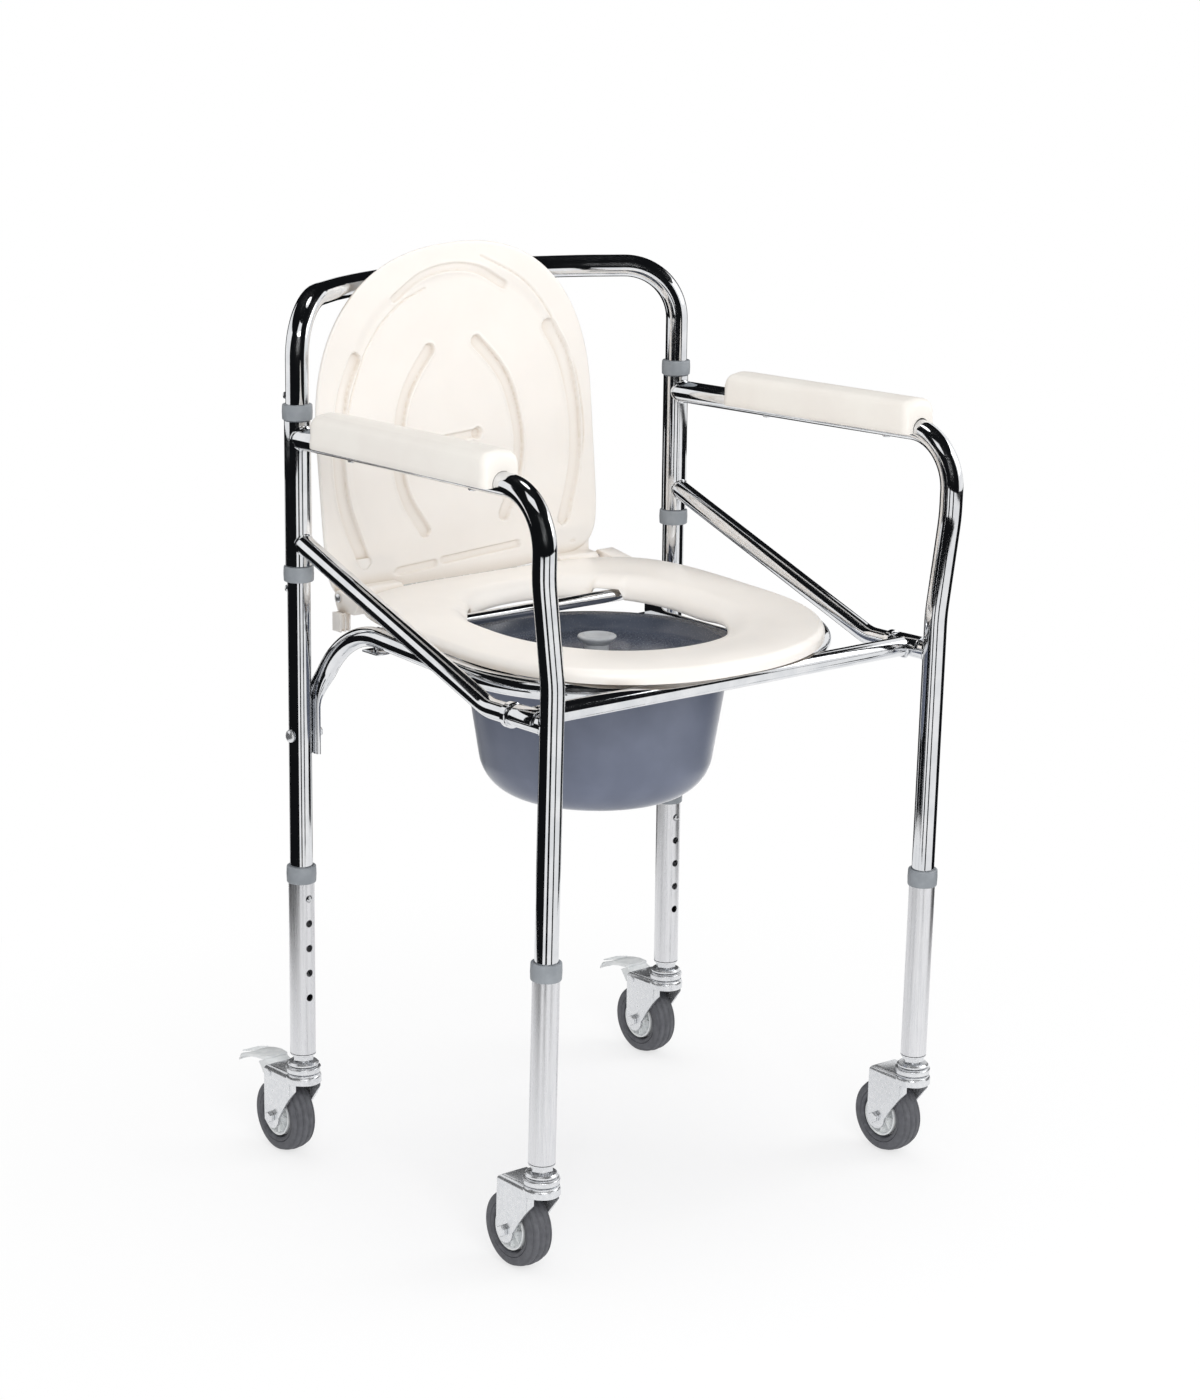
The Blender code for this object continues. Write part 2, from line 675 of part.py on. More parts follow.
def extension(side, front, parent):
    leg = leg_frame(side, front)
    low, high = EXTENSION_BOTTOM_Z, EXTENSION_TOP_Z
    profile = [(GUIDE_R, low), (OUTER_R, low), (OUTER_R, high), (GUIDE_R, high)]
    tube = moved(revolve(profile, TUBE_SIDES), leg @ FLATS)
    turn = clip_turn(side, front)
    holes = [snap_hole(leg, CLIP_Z - k * HOLE_STEP, 0.02, turn) for k in range(HOLE_COUNT)]
    label = leg_label(side, front)
    foot = leg @ Vector((0, 0, low))
    obj = add(f"leg_extension_{label}", cut(tube, *holes), "satin_tube", foot, parent)

    top = EXTENSION_TOP_Z - LEG_COLLAR_LAP + LEG_COLLAR_H
    base = EXTENSION_TOP_Z - LEG_COLLAR_LAP
    lip = EXTENSION_TOP_Z + SEAT_GAP
    wide, ease = OUTER_R + SLIDE_GAP, 0.0015
    profile = [(GUIDE_R, lip), (wide, lip), (wide, base), (COLLAR_R - ease, base), (COLLAR_R, base + ease)]
    profile += [(COLLAR_R, top - ease), (COLLAR_R - ease, top), (GUIDE_R, top)]
    collar = moved(revolve(profile, TUBE_SIDES), leg @ FLATS)
    add(f"leg_collar_{label}", collar, "collar", foot, obj)
    return obj


def leg_clip(side, front, parent):
    frame = leg_frame(side, front) @ Matrix.Rotation(clip_turn(side, front), 4, "Z")
    frame = frame @ Matrix.Translation((0, 0, CLIP_Z))
    button = moved(clip(OUTER_R + BUTTON_STAND), frame)
    add(f"leg_clip_{leg_label(side, front)}", button, "spring_steel", frame.translation, parent)


def caster_stem(leg, label, parent):
    """Plug in the extension, hexagon nut and upper ball race, in one piece with the stem."""
    base = EXTENSION_BOTTOM_Z - SEAT_GAP
    nut_low = RACE_TOP_Z + 0.0012
    neck = 0.0060
    flat = NUT_FLATS / 2
    plug = GUIDE_R * math.cos(math.pi / TUBE_SIDES) - SLIDE_GAP
    profile = [(neck, DISH_TOP_Z + SEAT_GAP), (RACE_R - 0.002, DISH_TOP_Z + SEAT_GAP)]
    profile += [(RACE_R, DISH_TOP_Z + 0.0016), (RACE_R - 0.0012, RACE_TOP_Z - 0.0006), (neck + 0.001, RACE_TOP_Z)]
    profile += [(neck + 0.001, nut_low), (flat, nut_low), (flat, base - 0.0016), (OUTER_R, base - 0.0014)]
    profile += [(OUTER_R, base), (plug, base), (plug, base + PLUG_H - 0.002), (plug - 0.002, base + PLUG_H)]
    stem = moved(revolve(profile, 12, closed=False, hexes=(6, 7)), leg)
    return add(f"caster_stem_{label}", stem, "zinc", leg @ Vector((0, 0, base)), parent)


def fork_outline():
    """Side view of the fork, in (trail, height)."""
    top = FORK_TOP_Z
    front = [(-FORK_FRONT, top), (-FORK_FRONT, top - 0.0110), (-0.0110, 0.0762), (0.0000, 0.0645)]
    front += [(0.0090, 0.0530)]
    lobe = arc((TRAIL, WHEEL_R), FORK_LOBE_R, 180, 360, 8)
    rear = [(TRAIL + FORK_LOBE_R, 0.0760), (TRAIL + FORK_LOBE_R - 0.0030, top)]
    return front + lobe + rear


def caster_fork(leg, label, braked, parent):
    body = prism(fork_outline(), -FORK_HALF, FORK_HALF, ALONG_X)
    inside = FORK_HALF - FORK_PLATE
    hollow = box((-inside, -0.05, -0.01), (inside, 0.10, FORK_TOP_Z - FORK_PLATE))
    axle = rod((-HUB_HALF - FORK_HALF, TRAIL, WHEEL_R), (HUB_HALF + FORK_HALF, TRAIL, WHEEL_R), AXLE_R + HOLE_GAP, 10)
    neck = 0.0045
    dish = [(neck, FORK_TOP_Z - 0.001), (0.0115, FORK_TOP_Z - 0.001), (DISH_R, DISH_TOP_Z - 0.0028)]
    dish += [(DISH_R, DISH_TOP_Z - 0.0008), (DISH_R - 0.0015, DISH_TOP_Z), (neck, DISH_TOP_Z)]
    fork = cut(body, hollow, axle)
    fork = join(fork, revolve(dish, 16, closed=False))
    if braked:
        y, z = PEDAL_PIVOT
        fork = join(fork, rod((-FORK_HALF - 0.001, y, z), (FORK_HALF + 0.001, y, z), PEDAL_PIN_R, 10))
    pivot = leg @ Vector((0, 0, DISH_TOP_Z))
    return add(f"caster_fork_{label}", moved(fork, leg), "zinc", pivot, parent)


def caster_axle(leg, label, parent):
    head, nut = FORK_HALF + 0.0045, FORK_HALF + 0.0050
    flat = AXLE_FLATS / 2
    face = FORK_HALF + SEAT_GAP
    profile = [(flat, -head), (flat, -face), (AXLE_R, -face), (AXLE_R, face), (flat, face), (flat, nut)]
    profile += [(AXLE_R, nut), (AXLE_R * 0.7, nut + 0.0020)]
    turn = Matrix.Translation((0, TRAIL, WHEEL_R)) @ Matrix.Rotation(math.pi / 2, 4, "Y")
    bolt = moved(revolve(profile, 12, closed=False, hexes=(0, 1, 4, 5)), leg @ turn)
    add(f"caster_axle_{label}", bolt, "zinc", leg @ Vector((0, TRAIL, WHEEL_R)), parent)


def caster_wheel(leg, label, parent):
    turn = Matrix.Translation((0, TRAIL, WHEEL_R)) @ Matrix.Rotation(math.pi / 2, 4, "Y")
    centre = leg @ Vector((0, TRAIL, WHEEL_R))
    bore = AXLE_R + HOLE_GAP
    rim = RIM_R - SLIDE_GAP / 2
    half = [(bore, HUB_HALF), (HUB_BOSS_R - 0.0015, HUB_HALF), (HUB_BOSS_R, HUB_WEB_HALF)]
    half += [(rim - 0.0026, HUB_WEB_HALF), (rim, TYRE_W / 2 - 0.001)]
    hub = revolve(half + [(r, -h) for r, h in reversed(half)], 16)
    hub_obj = add(f"caster_hub_{label}", moved(hub, leg @ turn), "wheel_hub", centre, parent)
    w = TYRE_W / 2
    tread = [(RIM_R + SLIDE_GAP / 2, w * 0.93), (WHEEL_R - 0.0075, w), (WHEEL_R - 0.0032, w * 0.86)]
    tread += [(WHEEL_R, w * 0.40)]
    tyre = revolve(tread + [(r, -h) for r, h in reversed(tread)], 24)
    add(f"caster_tyre_{label}", moved(tyre, leg @ turn), "tyre", centre, hub_obj)


def brake_pedal(leg, label, parent):
    y, z = PEDAL_PIVOT
    eye = 0.0046
    arm = arc((y, z), eye, 90, 235, 6) + [(y + 0.0050, z - 0.0068), (y + 0.0095, z - 0.0076)]
    arm += [(y + 0.0140, z - 0.0064), (y + 0.0230, z + 0.0050), (y + 0.0130, z + 0.0095)]
    arm = prism(arm, -PEDAL_ARM_HALF, PEDAL_ARM_HALF, ALONG_X)
    bore = rod((-PEDAL_HALF - FORK_HALF, y, z), (PEDAL_HALF + FORK_HALF, y, z), PEDAL_PIN_R + HOLE_GAP, 10)
    start, bend, tip = y + 0.0125, y + 0.035, PEDAL_REACH
    heights = {start: (z + 0.0125, PEDAL_HALF - 0.002), bend: (z + 0.0105, PEDAL_HALF)}
    heights[bend + 0.018] = (z + 0.0050, PEDAL_HALF - 0.0008)
    heights[tip - 0.004] = (z - 0.0020, PEDAL_HALF - 0.0050)
    heights[tip] = (z - 0.0035, PEDAL_HALF - 0.0100)
    rings = []
    for reach, (top, half) in heights.items():
        side = [(-half, top - PEDAL_PLATE), (-half, top - 0.001), (-half + 0.002, top)]
        side += [(-u, v) for u, v in reversed(side)]
        rings.append([Vector((u, reach, v)) for u, v in side])
    plate = loft(rings)
    pedal = moved(join(cut(arm, bore), plate), leg)
    add(f"brake_pedal_{label}", pedal, "pedal", leg @ Vector((0, y, z)), parent)


def leg_set(side, front, parent):
    leg = leg_frame(side, front)
    label = leg_label(side, front)
    tube = extension(side, front, parent)
    leg_clip(side, front, parent)
    # the caster is built upright on the floor, then set under the leg's leaning axis
    stem = caster_stem(leg, label, tube)
    fork = caster_fork(leg, label, not front, stem)
    caster_axle(leg, label, fork)
    caster_wheel(leg, label, fork)
    if not front:
        brake_pedal(leg, label, fork)


# Seat frame


def seat_tube_rings():
    """Half of the U-shaped tube: flattened pivot end, rear bend, rail, front corner, front run."""
    foot_x = HALF - TUBE_R - SEAT_GAP - END_THICK / 2
    bend = (-RAIL_HALF, POST_Y, rail_z(POST_Y))
    front = (-RAIL_HALF, FRONT_RUN_Y, rail_z(FRONT_RUN_Y))
    points = [(-foot_x, POST_Y, RAIL_END_Z), bend, front, (0, FRONT_RUN_Y, FRONT_RUN_Z)]
    path = rounded(points, [REAR_BEND_R, FRONT_BEND_R])
    down = (Vector(bend) - Vector(points[0])).normalized()
    stations = [(PIVOT_Z + 0.008), FLAT_FULL_Z, (FLAT_FULL_Z + FLAT_TOP_Z) / 2, FLAT_TOP_Z]
    extra = [Vector(points[0]) + down * ((z - RAIL_END_Z) / down.z) for z in stations]
    path = [path[0]] + extra + path[1:]

    def section(point):
        if point.z >= FLAT_TOP_Z or point.y < POST_Y - 0.02:
            return BRACE_R, BRACE_R
        t = min(1, max(0, (point.z - FLAT_FULL_Z) / (FLAT_TOP_Z - FLAT_FULL_Z)))
        return END_THICK / 2 + (BRACE_R - END_THICK / 2) * t, END_WIDTH / 2 + (BRACE_R - END_WIDTH / 2) * t

    rings = sweep(path, section, X_AXIS)
    # the flat end is square to the bolt, not to the leaning tube
    for ring, point in zip(rings, path):
        if point.z <= FLAT_FULL_Z + 1e-6 and point.y > POST_Y - 0.02:
            for p in ring:
                p.x += -foot_x - point.x
    return rings


def hook(side):
    """Half-round saddle over the side frame's stub, welded to the crossbar's end."""
    inner, outer = BRACE_R + HOOK_GAP, BRACE_R + HOOK_GAP + HOOK_WALL
    outline = arc((0, 0), outer, 0, 180, 10) + arc((0, 0), inner, 180, 0, 10)
    frame = Matrix.Translation((side * HALF, HOOK_REAR_Y, STUB_Z)) @ Matrix.Rotation(math.pi / 2, 4, "X")
    return prism(outline, 0, HOOK_LENGTH, frame)


def guide(side):
    """Angle strip that carries the bucket's rim, hung below the front run and the rear bar."""
    web_in = RIM_OUT_R + GUIDE_GAP
    lip_top = RIM_TOP_Z - RIM_THICK - SEAT_GAP
    low = lip_top - GUIDE_WALL
    front, rear = FRONT_RUN_Y - 0.004, REAR_BAR_Y + 0.005
    front_top, rear_top = FRONT_RUN_Z - BRACE_R + 0.002, rail_z(REAR_BAR_Y) - REAR_BAR_R + 0.0025
    outline = [(front, low), (rear, low), (rear, rear_top), (rear - 0.012, rear_top)]
    outline += [(rear - 0.030, lip_top + 0.006), (front + 0.044, lip_top + 0.004), (front + 0.026, front_top)]
    outline += [(front, front_top)]
    web = prism(outline, web_in, web_in + GUIDE_WALL, ALONG_X)
    lip = box((web_in - GUIDE_LIP, front + 0.006, low), (web_in + GUIDE_WALL, rear, lip_top))
    strip = join(web, lip)
    return strip if side > 0 else mirrored(strip)


def seat_frame():
    half = seat_tube_rings()
    rings = half + [[Vector((-p.x, p.y, p.z)) for p in ring] for ring in reversed(half[:-1])]
    tube = loft(rings)
    end = HALF - BRACE_R - HOOK_GAP - HOOK_WALL / 2
    crossbar = rod((-end, CROSSBAR_Y, CROSSBAR_Z), (end, CROSSBAR_Y, CROSSBAR_Z), BRACE_R)
    rear_z = rail_z(REAR_BAR_Y)
    rear_bar = rod((-RAIL_HALF, REAR_BAR_Y, rear_z), (RAIL_HALF, REAR_BAR_Y, rear_z), REAR_BAR_R, 12)
    frame = join(tube, crossbar, rear_bar, hook(-1), hook(1), guide(-1), guide(1))
    bolt = rod((-0.3, POST_Y, PIVOT_Z), (0.3, POST_Y, PIVOT_Z), PIVOT_BOLT_R + HOLE_GAP, 12)
    return add("seat_frame", cut(frame, bolt), "chrome", (0, POST_Y, PIVOT_Z))


def pivot_bolts(parent):
    for side in (-1, 1):
        head_in = TUBE_R + SEAT_GAP
        nut_out = TUBE_R + SEAT_GAP * 2 + END_THICK
        flat = PIVOT_NUT_FLATS / 2
        profile = [(0.0015, -PIVOT_BOLT_TIP - 0.001), (PIVOT_BOLT_R, -PIVOT_BOLT_TIP)]
        profile += [(PIVOT_BOLT_R, -nut_out - 0.0045), (flat, -nut_out - 0.0045), (flat, -nut_out)]
        profile += [(PIVOT_BOLT_R, -nut_out), (PIVOT_BOLT_R, head_in), (PIVOT_HEAD_R, head_in)]
        profile += [(PIVOT_HEAD_R * 0.95, head_in + 0.0015), (PIVOT_HEAD_R * 0.5, head_in + 0.0033)]
        bolt = revolve(profile, 12, closed=False, hexes=(3, 4))
        frame = Matrix.Translation((side * HALF, POST_Y, PIVOT_Z)) @ Matrix.Rotation(side * math.pi / 2, 4, "Y")
        add(f"pivot_bolt_{side_name(side)}", moved(bolt, frame), "zinc", frame.translation, parent)


# Bucket


def bucket(parent):
    floor, rim_top = BUCKET_FLOOR_Z, RIM_TOP_Z
    rim_low = rim_top - RIM_THICK
    wall = BUCKET_WALL
    lean = math.atan2(BUCKET_TOP_R - BUCKET_FLOOR_R, rim_low - floor)
    turn = (BUCKET_FLOOR_R - BUCKET_ROUND * (1 - math.sin(lean)) / math.cos(lean), floor + BUCKET_ROUND)
    foot = turn[0] - BUCKET_WALL
    lean = math.degrees(lean)
    middle = KNOB_R / 2
    profile = [(middle, floor + BUCKET_FOOT_H), (foot - BUCKET_FOOT_H, floor + BUCKET_FOOT_H), (foot - 0.001, floor)]
    profile += arc(turn, BUCKET_ROUND, -78, -lean, 5)
    profile += [(BUCKET_TOP_R, rim_low - 0.001), (BUCKET_TOP_R, rim_low), (RIM_OUT_R, rim_low), (RIM_OUT_R, rim_top)]
    profile += [(BUCKET_TOP_R - wall, rim_top)] + arc(turn, BUCKET_ROUND - wall, -lean, -72, 4)
    profile += [(foot - BUCKET_FOOT_H, floor + BUCKET_FOOT_H + wall), (middle, floor + BUCKET_FOOT_H + wall)]
    pail = moved(revolve(profile, BUCKET_SIDES, closed=False), Matrix.Translation((0, BUCKET_Y, 0)))
    obj = add("bucket", pail, "bucket", (0, BUCKET_Y, rim_low), parent)

    base = rim_top + SEAT_GAP
    pan = base - LID_PAN_DEPTH
    outer = BUCKET_TOP_R - wall - 0.0012
    lid = [(middle, pan), (LID_PAN_R + wall, pan), (outer, base - 0.003), (outer, base)]
    lid += [(RIM_OUT_R - 0.003, base), (RIM_OUT_R - 0.004, base + 0.0022)]
    lid += [(outer - wall, base + 0.0022), (LID_PAN_R, pan + PAN_THICK), (KNOB_R * 0.72, pan + PAN_THICK)]
    lid += [(KNOB_R * 0.62, pan + 0.0070), (KNOB_R * 0.92, KNOB_TOP_Z - 0.0060), (KNOB_R, KNOB_TOP_Z - 0.0035)]
    lid += [(KNOB_R * 0.93, KNOB_TOP_Z - 0.0010), (KNOB_R * 0.75, KNOB_TOP_Z)]
    cover = moved(revolve(lid, BUCKET_SIDES, closed=False), Matrix.Translation((0, BUCKET_Y, 0)))
    add("bucket_lid", cover, "bucket_lid", (0, BUCKET_Y, base), obj)


# Seat ring, lid and hinge


def super_point(angle, half, long, power):
    c, s = math.cos(angle), math.sin(angle)
    x = math.copysign(abs(c) ** (2 / power), c) * half
    return x, math.copysign(abs(s) ** (2 / power), s) * long


def ring_outline(count):
    """Outer edge of the seat ring, anticlockwise from the right: rounded front, squarer rear."""
    points = []
    for k in range(count):
        a = 2 * math.pi * k / count
        if math.sin(a) < 0:
            x, y = super_point(a, RING_HALF, RING_MID_Y - RING_FRONT_Y, 2.25)
        else:
            x, y = super_point(a, RING_HALF, RING_REAR_Y - RING_MID_Y, 4.6)
        points.append((x, RING_MID_Y + y))
    return points


def opening_outline(count):
    points = []
    for k in range(count):
        a = 2 * math.pi * k / count
        long = OPEN_FRONT if math.sin(a) < 0 else OPEN_REAR
        x, y = super_point(a, OPEN_HALF, long, 2.2)
        points.append((x, OPEN_Y + y))
    return points


def ring_base(y):
    return RING_BASE_Z + SEAT_SLOPE * (y - FRONT_RUN_Y)


def ring_top(y):
    return RING_BASE_Z + RING_BAND + RING_SLOPE * (y - FRONT_RUN_Y)


def pin_hole(y, z):
    """Cutter for the hinge pin's hole, clear of the pin's corners."""
    bore = (PIN_R + PIN_GAP) / math.cos(math.pi / PIN_SIDES)
    return rod((-EAR_X - EAR_W, y, z), (EAR_X + EAR_W, y, z), bore, PIN_SIDES)


def seat_ring(parent):
    """A shell: crowned top, outer skirt and a lip that turns down into the opening."""
    outer, inner = ring_outline(RING_POINTS), opening_outline(RING_POINTS)
    shell = RING_SHELL
    # (share of the way from opening to edge, height above base as a share of the band, extra height)
    top = [(1.0, 0.0, 0.0), (1.0, 0.62, 0.0), (0.975, 0.90, 0.0), (0.90, 1.0, 0.0), (0.60, 1.0, RING_CROWN)]
    top += [(0.30, 1.0, -0.0008), (0.10, 0.80, -0.0010), (0.0, 0.45, 0.0), (0.0, 0.0, -RING_LIP)]
    under = [(0.055, 0.0, -RING_LIP), (0.08, 0.55, -shell / 2), (0.35, 1.0, -shell - 0.001)]
    under += [(0.85, 1.0, -shell - 0.001), (0.955, 0.60, -shell / 2), (0.965, 0.0, 0.0)]
    rings = []
    for share, height, extra in top + under:
        ring = []
        for (xo, yo), (xi, yi) in zip(outer, inner):
            x, y = xi + (xo - xi) * share, yi + (yo - yi) * share
            low, high = ring_base(y), ring_top(y)
            ring.append(Vector((x, y, low + (high - low) * height + extra)))
        rings.append(ring)
    ring = loft(rings, closed=True)
    ears = []
    for side in (-1, 1):
        x0 = side * EAR_X - EAR_W / 2
        front = RING_REAR_Y - EAR_ROOT
        base = ring_base(front) + SEAT_GAP
        ear = [(front, ring_top(front) - 0.003), (front, base), (HINGE_Y, HINGE_Z - EAR_R)]
        ear += arc((HINGE_Y, HINGE_Z), EAR_R, -75, 90, 7)
        ears.append(prism(ear, x0, x0 + EAR_W, ALONG_X))
    body = join(ring, *ears)
    return add("seat_ring", cut(body, pin_hole(HINGE_Y, HINGE_Z)), "white_plastic", (0, POST_Y, PIVOT_Z), parent)


def lid_lean():
    """Angle from upright at which the open lid's back rests on the bowed top bar."""
    run, rise = bow_y(LID_TOUCH_X) - HINGE_Y, BAR_Z - HINGE_Z
    slope = 2 * (BAR_APEX_Y - POST_Y) * LID_TOUCH_X / HALF ** 2
    offset = HINGE_DROP + LID_EDGE + TUBE_R * math.hypot(1, slope) + LID_REST_GAP
    return math.atan2(run, rise) - math.asin(offset / math.hypot(run, rise))


def lid_point(angle, scale=1.0, half=LID_HALF, corner=LID_CORNER):
    """A place on the lid's edge, or inside it at a scale about its middle, as (across, along)."""
    middle = LID_LENGTH * 0.47
    if math.sin(angle) > 0:
        x, s = super_point(angle, half, LID_LENGTH - middle, 2.35)
    else:
        x, s = super_point(angle, half, middle - LID_START, corner)
    return x * scale, middle + s * scale


def lid_outline(count):
    """(across, along) points of the lid's edge, from the hinge side round the free end."""
    return [lid_point(2 * math.pi * k / count) for k in range(count)]


def groove(run, width, depth, face):
    """Cutter for a groove with round ends along a run of (across, along) points."""
    half = width / 2
    left, right = [], []
    for i, (x, s) in enumerate(run):
        before, after = run[max(i - 1, 0)], run[min(i + 1, len(run) - 1)]
        along = Vector((after[0] - before[0], after[1] - before[1])).normalized()
        left.append((x - along.y * half, s + along.x * half))
        right.append((x + along.y * half, s - along.x * half))
        if i == 0:
            start = math.degrees(math.atan2(along.y, along.x))
    finish = math.degrees(math.atan2(along.y, along.x))
    outline = left + arc(run[-1], half, finish + 90, finish - 90, 4)[1:-1]
    outline += right[::-1] + arc(run[0], half, start - 90, start - 270, 4)[1:-1]
    return prism(outline, face - width, face + depth)


def lid_channels(skew):
    """Cutters for the grooves of the lid: a bowed pair, a pair along the edges, one over the top, two dashes."""
    face, field = HINGE_DROP, HINGE_DROP + LID_DISH
    cutters = []
    for side in (-1, 1):
        bow = []
        for k in range(7):
            t = k / 6
            ends = 0.31 + (0.18 - 0.31) * t
            bow.append((side * GROOVE_HALF * (ends + 0.92 * t * (1 - t)), LID_LENGTH * (0.16 + 0.54 * t)))
        cutters.append(groove(bow, CHANNEL_W, CHANNEL_DEPTH, field))
        edge = [lid_point(math.radians(-49 + 78 * k / 8), 0.905, GROOVE_HALF, GROOVE_CORNER) for k in range(9)]
        cutters.append(groove([(side * x, s) for x, s in edge], CHANNEL_W, CHANNEL_DEPTH, face))
    top = [lid_point(math.radians(105 - 58 * k / 6), 0.915, GROOVE_HALF) for k in range(7)]
    cutters.append(groove(top, CHANNEL_W, CHANNEL_DEPTH, face))
    for low, high in ((-0.52, -0.255), (0.11, 0.385)):
        dash = [(GROOVE_HALF * low, LID_START + DASH_W * 1.1), (GROOVE_HALF * high, LID_START + DASH_W * 1.1)]
        cutters.append(groove(dash, DASH_W, CHANNEL_DEPTH / 2, face))
    return [moved(cutter, skew) for cutter in cutters]


def seat_lid(parent):
    """Built flat in (across, along, up from the hinge), then stood up leaning on the top bar."""
    outline = lid_outline(LID_POINTS)
    middle = LID_LENGTH * 0.47
    face, edge, back = HINGE_DROP, HINGE_DROP + LID_EDGE, HINGE_DROP + LID_THICK
    # (scale about the middle, height): inner face, rim, domed back
    steps = [(0.05, face + LID_DISH), (0.79, face + LID_DISH), (0.86, face + 0.0004), (0.985, face)]
    steps += [(1.0, face + 0.0012), (1.0, edge - 0.0012), (0.985, edge), (0.88, edge + 0.0035)]
    steps += [(0.70, back - 0.0008), (0.05, back)]
    rings = []
    for scale, height in steps:
        rings.append([Vector((x * scale, middle + (s - middle) * scale, height)) for x, s in outline])
    skew = Matrix.Translation((LID_OFFSET, 0, 0)) @ Matrix.Rotation(math.radians(LID_SKEW), 4, "Z")
    lid = moved(loft(rings), skew)
    knuckles = []
    for side in (-1, 1):
        x0 = side * KNUCKLE_X - KNUCKLE_W / 2
        r = EAR_R - 0.0008
        eye = arc((0, 0), r, 100, 370, 10)
        reach = LID_START + KNUCKLE_LAP
        outline = eye + [(KNUCKLE_NECK, face), (KNUCKLE_NECK + 0.0010, face + 0.0009), (reach, face + 0.0009)]
        outline += [(reach, edge - 0.0006), (0.004, edge - 0.0006)]
        knuckles.append(prism(outline, x0, x0 + KNUCKLE_W, ALONG_X))
    lid = join(lid, *knuckles)
    lid = cut(lid, pin_hole(0, 0), *lid_channels(skew))
    # flat frame: along is up, up from the hinge is to the rear
    stand = Matrix(((1, 0, 0, 0), (0, 0, 1, HINGE_Y), (0, 1, 0, HINGE_Z), (0, 0, 0, 1)))
    hinge = Matrix.Translation((0, HINGE_Y, HINGE_Z))
    lean = hinge @ Matrix.Rotation(-lid_lean(), 4, "X") @ hinge.inverted()
    return add("seat_lid", moved(lid, lean @ stand), "white_plastic", (0, HINGE_Y, HINGE_Z), parent)


def hinge_pin(parent):
    half = EAR_X + EAR_W / 2 + SEAT_GAP
    profile = [(0.002, -half - 0.0022), (0.0045, -half - 0.0012), (0.0045, -half), (PIN_R, -half)]
    profile += [(r, -h) for r, h in reversed(profile)]
    pin = moved(revolve(profile, PIN_SIDES, closed=False), Matrix.Rotation(math.pi / 2, 4, "Y"))
    pin = moved(pin, Matrix.Translation((0, HINGE_Y, HINGE_Z)))
    return add("lid_hinge_pin", pin, "zinc", (0, HINGE_Y, HINGE_Z), parent)


def build():
    clear_scene()
    back_frame()
    post_clips(None)
    pivot_collars()
    for side in (-1, 1):
        frame = side_frame(side)
        arm_pad(side, frame)
        leg_set(side, True, frame)
        leg_set(side, False, None)
    pivot_bolts(None)
    seat = seat_frame()
    ring = seat_ring(seat)
    pin = hinge_pin(ring)
    seat_lid(pin)
    bucket(seat)


build()
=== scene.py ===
"""Looks of the wheeled commode chair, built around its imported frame.

Pieces are made in the chair's own coordinates: metres, Z up, the seat facing -Y, and Y = 0 midway
between the rear posts and the front legs. Each is then moved onto the frame.
"""

import math

import bmesh
import bpy
from mathutils import Matrix, Vector


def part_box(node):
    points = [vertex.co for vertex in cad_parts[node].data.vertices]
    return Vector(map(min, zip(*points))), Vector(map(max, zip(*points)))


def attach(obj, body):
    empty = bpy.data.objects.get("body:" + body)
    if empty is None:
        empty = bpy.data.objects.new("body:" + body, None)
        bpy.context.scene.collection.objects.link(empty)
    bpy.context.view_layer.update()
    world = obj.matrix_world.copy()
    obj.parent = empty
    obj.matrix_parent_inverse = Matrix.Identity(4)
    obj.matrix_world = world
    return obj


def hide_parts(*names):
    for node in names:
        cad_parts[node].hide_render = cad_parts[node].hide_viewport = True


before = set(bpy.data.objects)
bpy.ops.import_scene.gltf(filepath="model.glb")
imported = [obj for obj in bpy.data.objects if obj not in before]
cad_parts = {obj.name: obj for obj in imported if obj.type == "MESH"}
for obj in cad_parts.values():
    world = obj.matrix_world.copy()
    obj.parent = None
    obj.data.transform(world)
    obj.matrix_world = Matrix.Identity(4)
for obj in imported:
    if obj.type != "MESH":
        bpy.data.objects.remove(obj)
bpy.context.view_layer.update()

# Frame sizes
DEPTH = 0.380  # rear posts to front legs, at the leg collars
POST_Y = DEPTH / 2
LEG_Y = -DEPTH / 2
LEG_LEAN = 0.022
COLLAR_Z = 0.295
TUBE_R = 0.0111
BRACE_R = 0.0095
OUTER_R = 0.0127
FIT = 0.0003  # gap between pieces that touch
BAR_Z = 0.856
BAR_APEX_Y = 0.278
BAR_BOW_START = 0.160
BAR_BEND_R = 0.055
TUBE_END_Z = 0.250
SLEEVE_BOTTOM_Z = 0.603
SLEEVE_TOP_Z = 0.7435
COLLAR_R = 0.0147
PIVOT_COLLAR_H = 0.0150
ARM_REAR_Z = 0.727
ARM_FRONT_Z = 0.7335
ARM_FLARE = 0.0125
ARM_BEND_R = 0.052
FLARE_TOP_Z = 0.655
FLARE_FOOT_Z = 0.560
FLARE_BEND_R = 0.150
BRACE_TOP_Z = 0.6285
STUB_Z = 0.522
STUB_REAR_Y = -0.105
BRACE_BEND_R = 0.050
STOP_RING_Y = -0.138
STOP_RING_R = 0.0120
STOP_RING_W = 0.009

